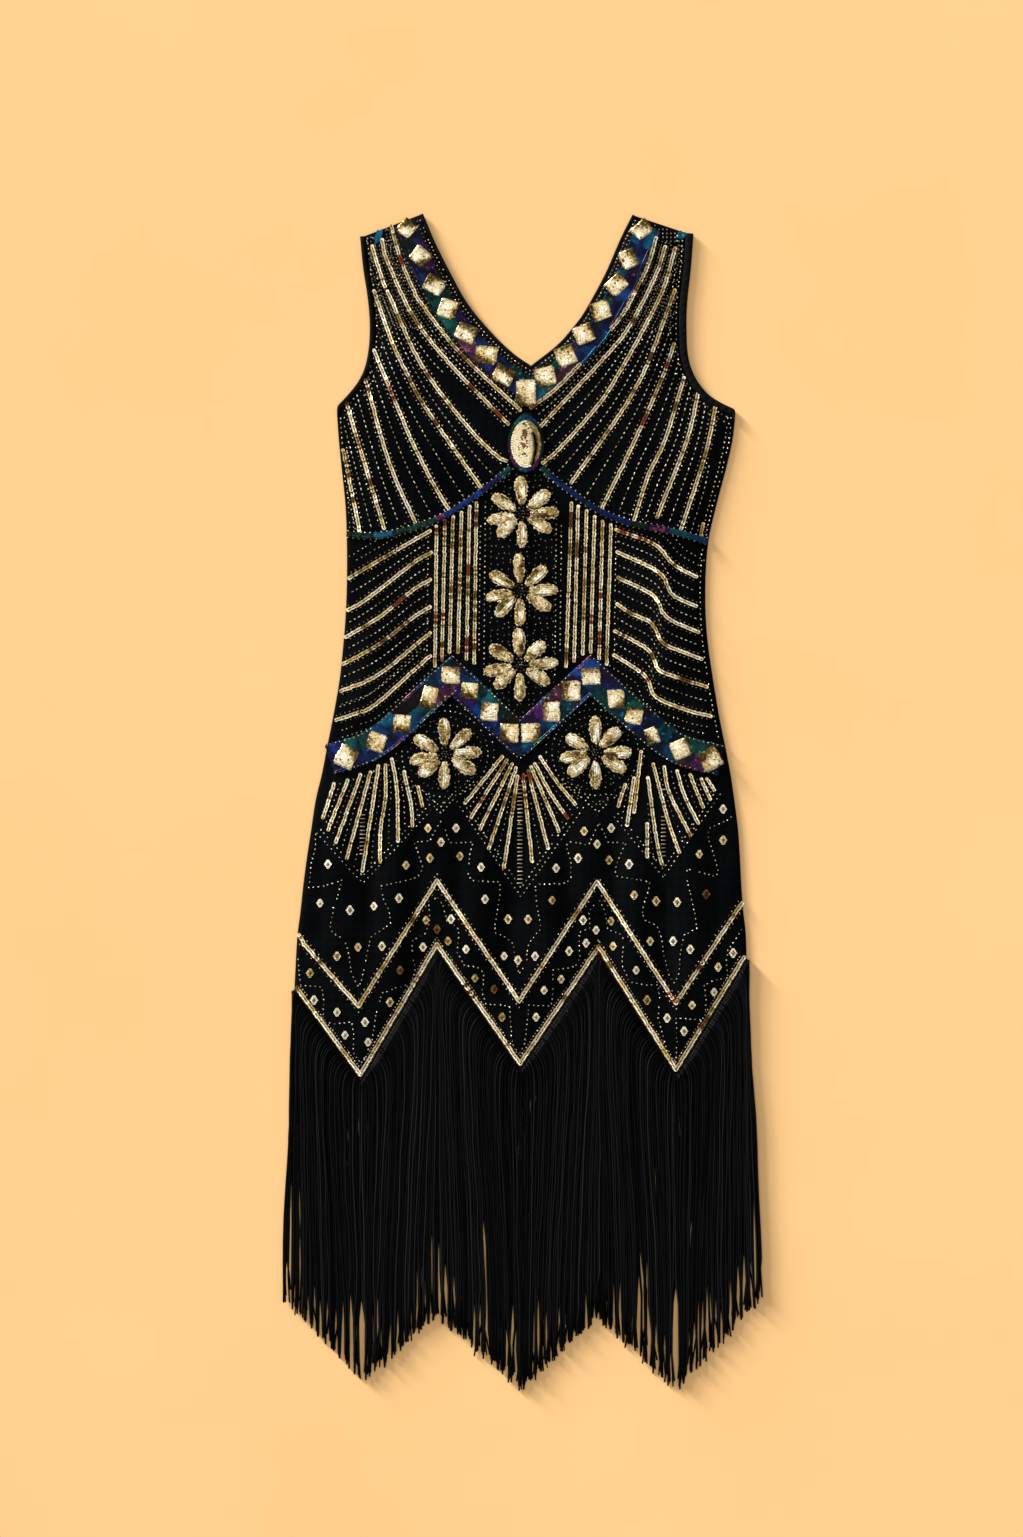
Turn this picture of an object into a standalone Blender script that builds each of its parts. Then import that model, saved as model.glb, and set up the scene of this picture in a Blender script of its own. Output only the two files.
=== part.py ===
"""A sleeveless 1920s flapper dress, laid flat with its front up.

+X is to the right of the front as it is seen, +Y runs from the hem to the shoulders and +Z is up.
The back lies on the floor at z = 0, the front lies on the back, and the trims lie on the front.
All named sizes and places are in millimetres, and meshes are written in metres.
"""

import math
from collections import namedtuple

import bmesh
import bpy
import numpy as np
from mathutils import Vector
from mathutils.bvhtree import BVHTree

MM = 0.001

# Cloth and seams.
CLOTH = 1.2
GAP = 0.3
FRONT_FLOOR = CLOTH + GAP
NECK_BINDING = 3.0
ARMHOLE_BINDING = {"left": 4.0, "right": 7.0}
BINDING_RISE = 2.0
BACK_BINDING_FLOOR = 0.2
BINDING_PROFILE = ((0.0, 0.0), (0.0, 0.45), (0.25, 1.0), (0.75, 1.0), (1.0, 0.6), (1.0, 0.0))  # across, up
BACK_TUCK = 1.2  # how far the back's edges lie inside the front's
BACK_NECK_DROP = 4.0

SKY = 100.0  # above everything, for looking down at the cloth
SHARPEST_MITRE = 0.4  # the cosine past which a corner's mitre grows no longer

# The cut of the body, as points (x, y) from the shoulder down.
NECK = {
    "left": ((-100, 586), (-87.5, 556.5), (-73, 527.5), (-55, 495.5), (-32, 467.5), (-10, 446.5), (8, 434)),
    "right": ((109.5, 585), (97.5, 561), (82, 525.5), (63, 490.5), (51, 473.5), (34, 454.5), (8, 434)),
}
ARMHOLE = {
    "left": ((-163, 563), (-160, 532), (-156, 506), (-153.5, 480), (-154, 455), (-158, 433), (-165, 418),
             (-175, 405), (-186.5, 393)),
    "right": ((170.5, 566), (168, 532), (164.5, 500), (163.5, 475), (165, 445), (171.5, 424), (183.5, 407),
              (198, 397), (213, 390)),
}
CENTRE = ((434, 8), (395, 3.5), (-266, -3))  # height, x

Section = namedtuple("Section", "height left right")
SIDE_SEAM = (
    Section(392, -186.4, 213.0),
    Section(360, -184.2, 209.5),
    Section(331, -181.3, 203.0),
    Section(295, -177.6, 193.5),
    Section(260, -176.2, 185.6),
    Section(225, -176.0, 182.6),
    Section(190, -177.0, 182.4),
    Section(158, -179.4, 184.6),
    Section(120, -183.4, 190.0),
    Section(82, -190.0, 196.4),
    Section(54, -195.6, 202.0),
    Section(26, -201.0, 207.4),
    Section(0, -207.2, 211.2),
    Section(-30, -211.8, 215.0),
    Section(-60, -216.4, 217.0),
    Section(-86, -219.8, 218.4),
    Section(-112, -222.6, 220.4),
    Section(-140, -226.0, 223.2),
    Section(-190, -228.8, 223.8),
)

# The zigzag hem and the ends of the fringe below it, corner by corner from left to right.
Corner = namedtuple("Corner", "x y end_x end_y")
HEM = (
    Corner(-228.6, -190.0, -239.6, -500.0),
    Corner(-162.5, -280.0, -159.5, -581.5),
    Corner(-86.0, -150.0, -87.0, -517.0),
    Corner(-3.0, -269.0, -1.5, -590.5),
    Corner(75.5, -152.5, 74.0, -519.5),
    Corner(153.0, -275.5, 154.0, -590.0),
    Corner(223.4, -159.0, 238.0, -499.0),
)
MIDDLE_CORNER = 3
SKIRT_TOP = -60.0

# How the cloth is gridded: rows in each stretch, and columns between the hem's corners.
Grid = namedtuple("Grid", "strap yoke body skirt left_columns right_columns")
FRONT_GRID = Grid(8, 3, 24, 8, (4, 4, 5), (5, 4, 4))
BACK_GRID = Grid(5, 2, 11, 5, (2, 2, 3), (3, 2, 2))
YOKE_SHARE = 0.7  # the share of an armhole that lies above the foot of the V
UNDERARM = {"left": 386.5, "right": 379.0}  # the height at which the panels reach each side seam

# How the front lifts off the back.
REST_PUFF = 1.6
EDGE_ROLL = 26.0  # the front comes down to its edges over this width
HEM_ROLL_SHARE = 0.8
SHOULDER_REACH = 8.0
Swell = namedtuple("Swell", "x y half_x half_y rise")
SWELLS = (
    Swell(-98, 335, 62, 62, 2.6),
    Swell(104, 335, 66, 60, 2.8),
    Swell(0, 40, 150, 110, 1.6),
)
Fold = namedtuple("Fold", "top_x top_y bottom_x bottom_y half_width rise")
FOLDS = (
    Fold(137, 262, 147, 84, 17, 3.6),
    Fold(173, 232, 166, 118, 16, 1.6),
    Fold(-150, 190, -172, 70, 20, 1.4),
    Fold(-178, 12, -180, -176, 20, 2.2),
    Fold(-128, -6, -130, -226, 19, 3.2),
    Fold(-84, 10, -80, -118, 17, 2.6),
    Fold(-40, -16, -48, -196, 17, 2.8),
    Fold(24, -30, 22, -214, 19, 3.0),
    Fold(68, 4, 62, -120, 17, 2.6),
    Fold(116, -4, 112, -206, 17, 3.4),
    Fold(164, 20, 172, -220, 19, 3.6),
    Fold(-134, 500, -120, 400, 17, 1.4),
    Fold(142, 500, 128, 402, 17, 1.6),
)

# Trims that lie on the front.
TRIM = 1.2
TRIM_REACH = 7.0  # a trim clears the highest cloth within this distance of each of its points
NECK_BAND_WIDTH = 31.4
NECK_DIAMONDS = 7  # on each side, with one more at the foot of the V
DIAMOND_LONG = 21.0
DIAMOND_WIDE = 19.0
DIAMOND_RISE = 1.5
STATIONS_APART = 4.0
CORNER_MITRE = 1.04  # a point whose mitre is longer than this is a corner
HIP_BAND_WIDTH = 30.0
HIP_BAND = ((-193, 40), (-146, 57.5), (-94, 104), (-71, 124), (-3, 59.5), (67.5, 124.5), (112, 84), (153, 52),
            (198, 39))
HIP_CORNERS = (0, 3, 4, 5, 8)  # the seams, the two peaks and the valley between them
HIP_SQUARES = (4, 3, 3, 5)
VALLEY_STEP = 15.0
BUST_CORD_WIDTH = 6.0
BUST_CORD_TOP = ((-1.0, 0.8), (-0.55, 2.6), (0.55, 2.6), (1.0, 0.8))  # share of the half width, rise
BUST_CORD_STATIONS = 13
BUST_CORD = {
    "left": ((-176, 265.5), (-151, 263.5), (-120, 268.5), (-83, 281.5), (-49, 302.5), (-22, 322.5)),
    "right": ((184, 258.5), (144, 269.5), (106, 276.5), (73, 290.5), (45, 310), (27, 324.5)),
}
JEWEL_CENTRE = (3.0, 355.0)
JEWEL_HALF = (18.0, 28.5)
JEWEL_POINT = 4.0
JEWEL_RINGS = ((1.0, 0.0), (1.0, 1.2), (0.86, 1.6), (0.8, 3.0), (0.5, 5.0))  # share of the half size, rise
JEWEL_SIDES = 16

Petal = namedtuple("Petal", "turn reach half_width")
PETALS = (
    Petal(90, 36.0, 6.0),
    Petal(42, 34.5, 6.2),
    Petal(1, 36.0, 5.8),
    Petal(-40, 34.0, 6.2),
    Petal(-90, 35.0, 5.8),
    Petal(-139, 34.5, 6.2),
    Petal(-176, 36.0, 5.8),
    Petal(143, 33.5, 6.2),
)
FLOWER_HUB = 8.5
FLOWER_RISE = 3.4
HUB_RISE = 1.8
PETAL_OUTLINE = ((0.62, 1.0), (0.9, 0.66))  # share of the reach, share of the half width
FLOWERS = {
    "flower_middle_1": (-1.0, 285.5),
    "flower_middle_2": (-2.5, 208.5),
    "flower_middle_3": (-3.0, 134.5),
    "flower_hip_left": (-78.0, 45.5),
    "flower_hip_right": (72.0, 47.0),
}

# The fringe hangs from a narrow tape under the hem.
TAPE = 4.0
TAPE_THICK = 1.1
STRAND_THICK = 1.1
STRAND_TIP = 0.62  # a tip's width as a share of its strand's
CLUMP = 6  # strands that draw together at their tips
CLUMP_PULL = 0.26
TIP_RAGGED = 9.0
UNEVEN_TURNS = (2.399, 0.731)  # two angles that never fall in step, for uneven lengths
Fringe = namedtuple("Fringe", "strands rings width tape_floor strand_floor spread")
FRINGES = {
    "fringe_front": Fringe((19, 22, 24, 23, 22, 20), (0.05, 0.55, 1.0), 2.3, 1.6, 2.0, 1.0),
    "fringe_back": Fringe((13, 15, 17, 16, 15, 14), (0.06, 1.0), 2.6, 0.2, 0.5, 0.97),
}


# ---------------------------------------------------------------- paths in the plane of the floor


def spline(points, per_span=8):
    """A smooth curve through the points, as rows of (x, y)."""
    knots = np.array(points, float)
    ends = np.vstack([2 * knots[0] - knots[1], knots, 2 * knots[-1] - knots[-2]])
    curve = []
    for a, b, c, d in zip(ends[:-3], ends[1:-2], ends[2:-1], ends[3:]):
        square = 2 * a - 5 * b + 4 * c - d
        cube = 3 * b - a - 3 * c + d
        for t in np.arange(per_span) / per_span:
            curve.append(0.5 * (2 * b + (c - a) * t + square * t**2 + cube * t**3))
    return np.vstack([curve, knots[-1]])


def lengths(path):
    """How far along the path each of its points is."""
    return np.concatenate([[0.0], np.cumsum(np.hypot(*np.diff(path, axis=0).T))])


def along(path, shares):
    """Points at the given shares of the path's length."""
    run = lengths(path)
    places = np.array(shares) * run[-1]
    return np.column_stack([np.interp(places, run, path[:, 0]), np.interp(places, run, path[:, 1])])


def side_normals(path):
    """For each point, the direction to the right of travel, longer at a corner so that offsets meet there."""
    step = np.diff(path, axis=0)
    step /= np.hypot(*step.T)[:, None]
    right = np.column_stack([step[:, 1], -step[:, 0]])
    before = np.vstack([right[:1], right])
    after = np.vstack([right, right[-1:]])
    middle = before + after
    middle /= np.hypot(*middle.T)[:, None]
    return middle / np.maximum((middle * after).sum(axis=1), SHARPEST_MITRE)[:, None]


def offset(path, distance):
    """The path moved to the right of its travel."""
    return path + side_normals(path) * distance


def neck_path(drop=0.0):
    """The V from the left shoulder down and up to the right one; the cloth is on its right."""
    left = spline(NECK["left"])
    right = spline(NECK["right"])
    for half in (left, right):
        share = lengths(half) / lengths(half)[-1]
        half[:, 1] -= drop * share
    return np.vstack([left, right[-2::-1]])


def armhole_path(side, distance=0.0):
    """The armhole from the shoulder down, moved into the cloth by distance."""
    into_cloth = -distance if side == "left" else distance
    return offset(spline(ARMHOLE[side]), into_cloth)


def armhole_rows(side, distance, grid):
    """The armhole's points on the grid's rows, moved into the cloth by distance."""
    strap = np.linspace(0, YOKE_SHARE, grid.strap + 1)
    yoke = np.linspace(YOKE_SHARE, 1, grid.yoke + 1)
    return along(armhole_path(side, distance), np.concatenate([strap, yoke[1:]]))


def neck_rows(side, distance, drop, grid):
    """One side of the V on the grid's rows, from the shoulder down, moved into the cloth by distance."""
    neck = offset(neck_path(drop), distance)
    foot = int(np.argmin(neck[:, 1]))
    neck = neck[: foot + 1] if side == "left" else neck[: foot - 1 : -1]
    return along(neck, np.linspace(0, 1, grid.strap + 1))


def side_x(side, height):
    rows = spline([(row.height, getattr(row, side)) for row in SIDE_SEAM])[::-1]
    return np.interp(height, rows[:, 0], rows[:, 1])


def centre_x(height):
    rows = np.array(CENTRE, float)[::-1]
    return np.interp(height, rows[:, 0], rows[:, 1])


def smooth_step(value):
    value = np.clip(value, 0.0, 1.0)
    return value * value * (3 - 2 * value)


# ---------------------------------------------------------------- meshes and materials


def clear_scene():
    for old in list(bpy.data.objects):
        bpy.data.objects.remove(old, do_unlink=True)


def material(name, colour, roughness, metallic=0.0):
    made = bpy.data.materials.new(name)
    made.use_nodes = True
    shader = made.node_tree.nodes["Principled BSDF"]
    shader.inputs["Base Color"].default_value = (*colour, 1.0)
    shader.inputs["Roughness"].default_value = roughness
    shader.inputs["Metallic"].default_value = metallic
    return made


def finish(name, mesh_edit, look, smooth=True):
    """An object from the edited mesh, with its faces pointing out."""
    mesh = bpy.data.meshes.new(name)
    mesh_edit.to_mesh(mesh)
    mesh_edit.free()
    if smooth:
        mesh.shade_smooth()
    mesh.materials.append(look)
    made = bpy.data.objects.new(name, mesh)
    bpy.context.scene.collection.objects.link(made)
    return made


def point(mesh_edit, x, y, z):
    return mesh_edit.verts.new((x * MM, y * MM, z * MM))


def bridge(mesh_edit, ring, following):
    """Side faces between two rings with the same number of points."""
    count = len(ring)
    for i in range(count):
        j = (i + 1) % count
        mesh_edit.faces.new((ring[i], ring[j], following[j], following[i]))


# ---------------------------------------------------------------- front and back


def half_rows(side, grid, tuck, neck_drop):
    """One half's grid as an array of rows, each from the outer edge to the middle."""
    into_cloth = tuck if side == "left" else -tuck
    corners = HEM[: MIDDLE_CORNER + 1] if side == "left" else HEM[: MIDDLE_CORNER - 1 : -1]
    columns = grid.left_columns if side == "left" else grid.right_columns[::-1]
    hem = [(corners[0].x, corners[0].y)]
    for a, b, count in zip(corners[:-1], corners[1:], columns):
        for i in range(1, count + 1):
            hem.append((a.x + (b.x - a.x) * i / count, a.y + (b.y - a.y) * i / count))
    hem = np.array(hem)
    share = ((hem[:, 0] - hem[0, 0]) / (hem[-1, 0] - hem[0, 0]))[:, None]

    outer = list(armhole_rows(side, ARMHOLE_BINDING[side] + GAP + tuck, grid))
    inner = list(neck_rows(side, NECK_BINDING + GAP + tuck, neck_drop, grid))
    for height in np.linspace(inner[-1][1], UNDERARM[side], grid.yoke + 2)[1:-1]:
        inner.append((centre_x(height), height))
    for height in np.linspace(UNDERARM[side], SKIRT_TOP, grid.body):
        outer.append((side_x(side, height) + into_cloth, height))
        inner.append((centre_x(height), height))
    rows = [np.array(a) + share * (np.array(b) - np.array(a)) for a, b in zip(outer, inner)]
    skirt = []
    for drop in np.arange(1, grid.skirt + 1) / grid.skirt:
        y = SKIRT_TOP + drop * (hem[:, 1] - SKIRT_TOP)
        edge = side_x(side, y[0]) + into_cloth
        x = edge + share[:, 0] * (centre_x(y[-1]) - edge)
        skirt.append(np.column_stack([x, y]))
    to_hem = hem - skirt[-1]
    rows += [row + to_hem * (index + 1) / grid.skirt for index, row in enumerate(skirt)]
    return np.array(rows)


def hem_height(x):
    return np.interp(x, [corner.x for corner in HEM], [corner.y for corner in HEM])


def fold_rise(x, y):
    """The height of the puff, the swells and the folds at a place."""
    rise = REST_PUFF
    for swell in SWELLS:
        away = math.hypot((x - swell.x) / swell.half_x, (y - swell.y) / swell.half_y)
        rise += swell.rise * math.exp(-(away**2))
    for fold in FOLDS:
        run = Vector((fold.bottom_x - fold.top_x, fold.bottom_y - fold.top_y))
        place = Vector((x - fold.top_x, y - fold.top_y))
        share = place.dot(run) / run.length_squared
        across = abs(place.x * run.y - place.y * run.x) / run.length
        ends = smooth_step(4 * min(share, 1 - share))
        rise += fold.rise * ends * math.exp(-((across / fold.half_width) ** 2))
    return rise


def front_height(x, y, side, row, grid, row_points):
    """The underside of the front, which settles on the back at every edge."""
    reach = abs(x - row_points[0][0])
    if row < grid.strap:
        reach = min(reach, math.hypot(x - row_points[-1][0], y - row_points[-1][1]))
    foot = NECK["left"][-1]
    reach = min(reach, math.hypot(x - foot[0], y - foot[1]))
    reach = min(reach, HEM_ROLL_SHARE * (y - hem_height(x)))
    shoulder = ARMHOLE[side][0][1] + SHOULDER_REACH
    reach = min(reach, max(0.0, shoulder - y))
    return FRONT_FLOOR + smooth_step(reach / EDGE_ROLL) * fold_rise(x, y)


def panel(name, grid, look, tuck=0.0, neck_drop=0.0, lifted=True):
    """A cloth panel: two halves gridded from the sides, sharing the points below the V, then given a wall."""
    mesh_edit = bmesh.new()
    middle = {}
    for side in ("left", "right"):
        rows = half_rows(side, grid, tuck, neck_drop)
        verts = []
        for row, row_points in enumerate(rows):
            line = []
            for column, (x, y) in enumerate(row_points):
                at_middle = column == len(row_points) - 1 and row >= grid.strap
                if at_middle and row in middle:
                    line.append(middle[row])
                    continue
                z = front_height(x, y, side, row, grid, row_points) if lifted else 0.0
                line.append(point(mesh_edit, x, y, z))
                if at_middle:
                    middle[row] = line[-1]
            verts.append(line)
        for above, below in zip(verts[:-1], verts[1:]):
            for j in range(len(above) - 1):
                face = [above[j], below[j], below[j + 1], above[j + 1]]
                mesh_edit.faces.new(face if side == "left" else face[::-1])
    made = finish(name, mesh_edit, look)
    wall = made.modifiers.new("wall", "SOLIDIFY")
    wall.thickness = CLOTH * MM
    wall.offset = 1.0
    return made


# ---------------------------------------------------------------- trims


class Surface:
    """The top of the front, for laying trims on it."""

    def __init__(self, cloth):
        bpy.context.view_layer.update()
        self.tree = BVHTree.FromObject(cloth, bpy.context.evaluated_depsgraph_get())

    def height(self, x, y):
        """The highest cloth within TRIM_REACH of a place."""
        found = []
        for turn in range(8):
            angle = math.tau * turn / 8
            for reach in (TRIM_REACH / 2, TRIM_REACH):
                start = Vector((x + reach * math.cos(angle), y + reach * math.sin(angle), SKY))
                hit = self.tree.ray_cast(start * MM, Vector((0, 0, -1)))[0]
                if hit:
                    found.append(hit.z / MM)
        return max(found) if found else FRONT_FLOOR + CLOTH


def ribbon(name, path, tops, look, cloth, smooth=True):
    """A strip laid on the cloth along a path. tops(i) gives station i's top as (across, up) pairs."""
    mesh_edit = bmesh.new()
    normals = side_normals(path)
    rings = []
    for i, (place, normal) in enumerate(zip(path, normals)):
        top = tops(i)
        ring = []
        for across, up in top:
            x, y = place + normal * across
            ring.append(point(mesh_edit, x, y, cloth.height(x, y) + GAP + up))
        for across in (top[-1][0], 0.0, top[0][0]):
            x, y = place + normal * across
            ring.append(point(mesh_edit, x, y, cloth.height(x, y) + GAP))
        rings.append(ring)
    for ring, following in zip(rings[:-1], rings[1:]):
        bridge(mesh_edit, ring, following)
    mesh_edit.faces.new(rings[0][::-1])
    mesh_edit.faces.new(rings[-1])
    bmesh.ops.recalc_face_normals(mesh_edit, faces=mesh_edit.faces)
    return finish(name, mesh_edit, look, smooth)


def binding(name, open_edge, sewn_edge, floor, rise, look):
    """A folded edge binding between the open edge and the edge that meets the cloth."""
    mesh_edit = bmesh.new()
    rings = []
    for out, sewn in zip(open_edge, sewn_edge):
        ring = []
        for across, up in BINDING_PROFILE:
            x, y = out + (sewn - out) * across
            ring.append(point(mesh_edit, x, y, floor + rise * up))
        rings.append(ring)
    for ring, following in zip(rings[:-1], rings[1:]):
        bridge(mesh_edit, ring, following)
    mesh_edit.faces.new(rings[0][::-1])
    mesh_edit.faces.new(rings[-1])
    bmesh.ops.recalc_face_normals(mesh_edit, faces=mesh_edit.faces)
    return finish(name, mesh_edit, look)


def both_sides_of_neck(distance, drop, grid):
    left = neck_rows("left", distance, drop, grid)
    right = neck_rows("right", distance, drop, grid)
    return np.vstack([left, right[-2::-1]])


def bindings(layer, grid, tuck, drop, floor, rise, look):
    """The neck's and the armholes' bindings of one layer of cloth."""
    neck = [both_sides_of_neck(tuck + distance, drop, grid) for distance in (0.0, NECK_BINDING)]
    binding("neck_binding_" + layer, *neck, floor, rise, look)
    for side, width in ARMHOLE_BINDING.items():
        edges = [armhole_rows(side, tuck + distance, grid) for distance in (0.0, width)]
        binding("armhole_binding_" + layer + "_" + side, *edges, floor, rise, look)


def gem_band(name, path, centres, width, look, cloth):
    """A flat band with raised diamonds, whose centres are lengths along the path.

    No plain station lies where the inner edge has already met at a corner.
    """
    run = lengths(path)
    half = DIAMOND_LONG / 2
    stations = {0.0: False, run[-1]: False}
    for centre in centres:
        stations[centre - half] = False
        stations[centre + half] = False
    corners = {}
    for place, normal in zip(run[1:-1], side_normals(path)[1:-1]):
        mitre = np.hypot(*normal)
        if mitre > CORNER_MITRE:
            corners[place] = width / 2 * math.sqrt(mitre**2 - 1)
            stations[place] = False
    for centre in centres:
        stations[centre] = True
    places = sorted(place for place in stations if 0 <= place <= run[-1])
    kept = [place for place in places if stations[place] or place in (0.0, run[-1]) or place in corners]
    for place in places:
        apart = min(abs(place - other) for other in kept) > STATIONS_APART
        if apart and all(abs(place - corner) > reach for corner, reach in corners.items()):
            kept.append(place)
    kept.sort()
    points = along(path, np.array(kept) / run[-1])

    def top(i):
        raised = DIAMOND_RISE if stations[kept[i]] else 0.0
        edge = width / 2
        gem = DIAMOND_WIDE / 2
        return ((-edge, TRIM), (-gem, TRIM), (0.0, TRIM + raised), (gem, TRIM), (edge, TRIM))

    return ribbon(name, points, top, look, cloth, smooth=False)


def neck_band(look, cloth):
    path = offset(neck_path(), NECK_BINDING + 2 * GAP + NECK_BAND_WIDTH / 2)
    path = path[1:-1]
    run = lengths(path)
    foot = run[int(np.argmin(path[:, 1]))]
    left_pitch = foot / (NECK_DIAMONDS + 0.5)
    right_pitch = (run[-1] - foot) / (NECK_DIAMONDS + 0.5)
    centres = [foot]
    for k in range(NECK_DIAMONDS):
        centres.append(left_pitch * (k + 0.5))
        centres.append(run[-1] - right_pitch * (k + 0.5))
    return gem_band("neck_band", path, centres, NECK_BAND_WIDTH, look, cloth)


def hip_band(look, cloth):
    stretches = [spline(HIP_BAND[a : b + 1], 4) for a, b in zip(HIP_CORNERS[:-1], HIP_CORNERS[1:])]
    path = np.vstack([stretches[0]] + [stretch[1:] for stretch in stretches[1:]])
    start = 0.0
    centres = []
    for index, (stretch, squares) in enumerate(zip(stretches, HIP_SQUARES)):
        length = lengths(stretch)[-1]
        if index == 0:
            centres += [length * (k + 0.5) / (squares + 0.5) for k in range(squares + 1)]
        elif index == 1:
            centres += [start + (length - VALLEY_STEP) * (k + 1) / squares for k in range(squares)]
        elif index == 2:
            first = start + VALLEY_STEP
            centres += [first + (length - VALLEY_STEP) * k / squares for k in range(squares + 1)]
        else:
            centres += [start + length * (k + 1) / (squares + 0.5) for k in range(squares)]
        start += length
    return gem_band("hip_band", path, centres, HIP_BAND_WIDTH, look, cloth)


def bust_cord(side, look, cloth):
    path = along(spline(BUST_CORD[side]), np.linspace(0, 1, BUST_CORD_STATIONS))
    top = [(share * BUST_CORD_WIDTH / 2, up) for share, up in BUST_CORD_TOP]
    return ribbon("bust_cord_" + side, path, lambda i: top, look, cloth)


def jewel(look, cloth):
    """An oval padded motif with a slightly pointed top."""
    mesh_edit = bmesh.new()
    centre = np.array(JEWEL_CENTRE)
    rings = []
    for share, up in JEWEL_RINGS:
        ring = []
        for i in range(JEWEL_SIDES):
            angle = math.tau * i / JEWEL_SIDES
            reach = np.array((JEWEL_HALF[0] * math.cos(angle), JEWEL_HALF[1] * math.sin(angle)))
            reach[1] += JEWEL_POINT * max(0.0, math.sin(angle)) ** 12
            x, y = centre + reach * share
            ring.append(point(mesh_edit, x, y, cloth.height(x, y) + GAP + up))
        rings.append(ring)
    for ring, following in zip(rings[:-1], rings[1:]):
        bridge(mesh_edit, ring, following)
    mesh_edit.faces.new(rings[0][::-1])
    crown = point(mesh_edit, *centre, cloth.height(*centre) + GAP + JEWEL_RINGS[-1][1])
    for a, b in zip(rings[-1], rings[-1][1:] + rings[-1][:1]):
        mesh_edit.faces.new((a, b, crown))
    bmesh.ops.recalc_face_normals(mesh_edit, faces=mesh_edit.faces)
    return finish("neck_jewel", mesh_edit, look)


def flower(name, centre, look, cloth):
    """A padded flower: a round hub with eight petals, each raised along its middle."""
    mesh_edit = bmesh.new()

    def lay(reach, angle, up):
        x = centre[0] + reach * math.cos(angle)
        y = centre[1] + reach * math.sin(angle)
        return point(mesh_edit, x, y, cloth.height(x, y) + GAP + up)

    turns = [math.radians(petal.turn) for petal in PETALS]
    turns = sorted((turn % math.tau, petal) for turn, petal in zip(turns, PETALS))
    layers = {}
    for layer, up in (("top", TRIM), ("under", 0.0)):
        outline = []
        for i, (turn, petal) in enumerate(turns):
            following = turns[(i + 1) % len(turns)][0] + (math.tau if i == len(turns) - 1 else 0.0)
            flank = []
            for share, wide in PETAL_OUTLINE:
                run, half = petal.reach * share, petal.half_width * wide
                flank.append((math.hypot(run, half), math.atan2(half, run)))
            for reach, splay in flank:
                outline.append(lay(reach, turn - splay, up))
            outline.append(lay(petal.reach, turn, up))
            for reach, splay in flank[::-1]:
                outline.append(lay(reach, turn + splay, up))
            outline.append(lay(FLOWER_HUB, (turn + following) / 2, up))
        layers[layer] = outline
    top_middle = lay(0.0, 0.0, HUB_RISE)
    under_middle = lay(0.0, 0.0, 0.0)
    top = layers["top"]
    under = layers["under"]
    count = len(top)
    each = count // len(turns)
    for i, (turn, petal) in enumerate(turns):
        ridge = lay(petal.reach * PETAL_OUTLINE[0][0], turn, FLOWER_RISE)
        petal_points = range(each * i - 1, each * (i + 1))
        loop = [top[k] for k in petal_points] + [top_middle]
        for a, b in zip(loop, loop[1:] + loop[:1]):
            mesh_edit.faces.new((a, b, ridge))
        mesh_edit.faces.new([under_middle] + [under[k] for k in petal_points][::-1])
    for i in range(count):
        j = (i + 1) % count
        mesh_edit.faces.new((top[j], top[i], under[i], under[j]))
    bmesh.ops.recalc_face_normals(mesh_edit, faces=mesh_edit.faces)
    return finish(name, mesh_edit, look)


# ---------------------------------------------------------------- fringe


def uneven(index):
    """A repeatable uneven share between 0 and 1."""
    return abs(math.sin(index * UNEVEN_TURNS[0]) * math.cos(index * UNEVEN_TURNS[1]))


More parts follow.
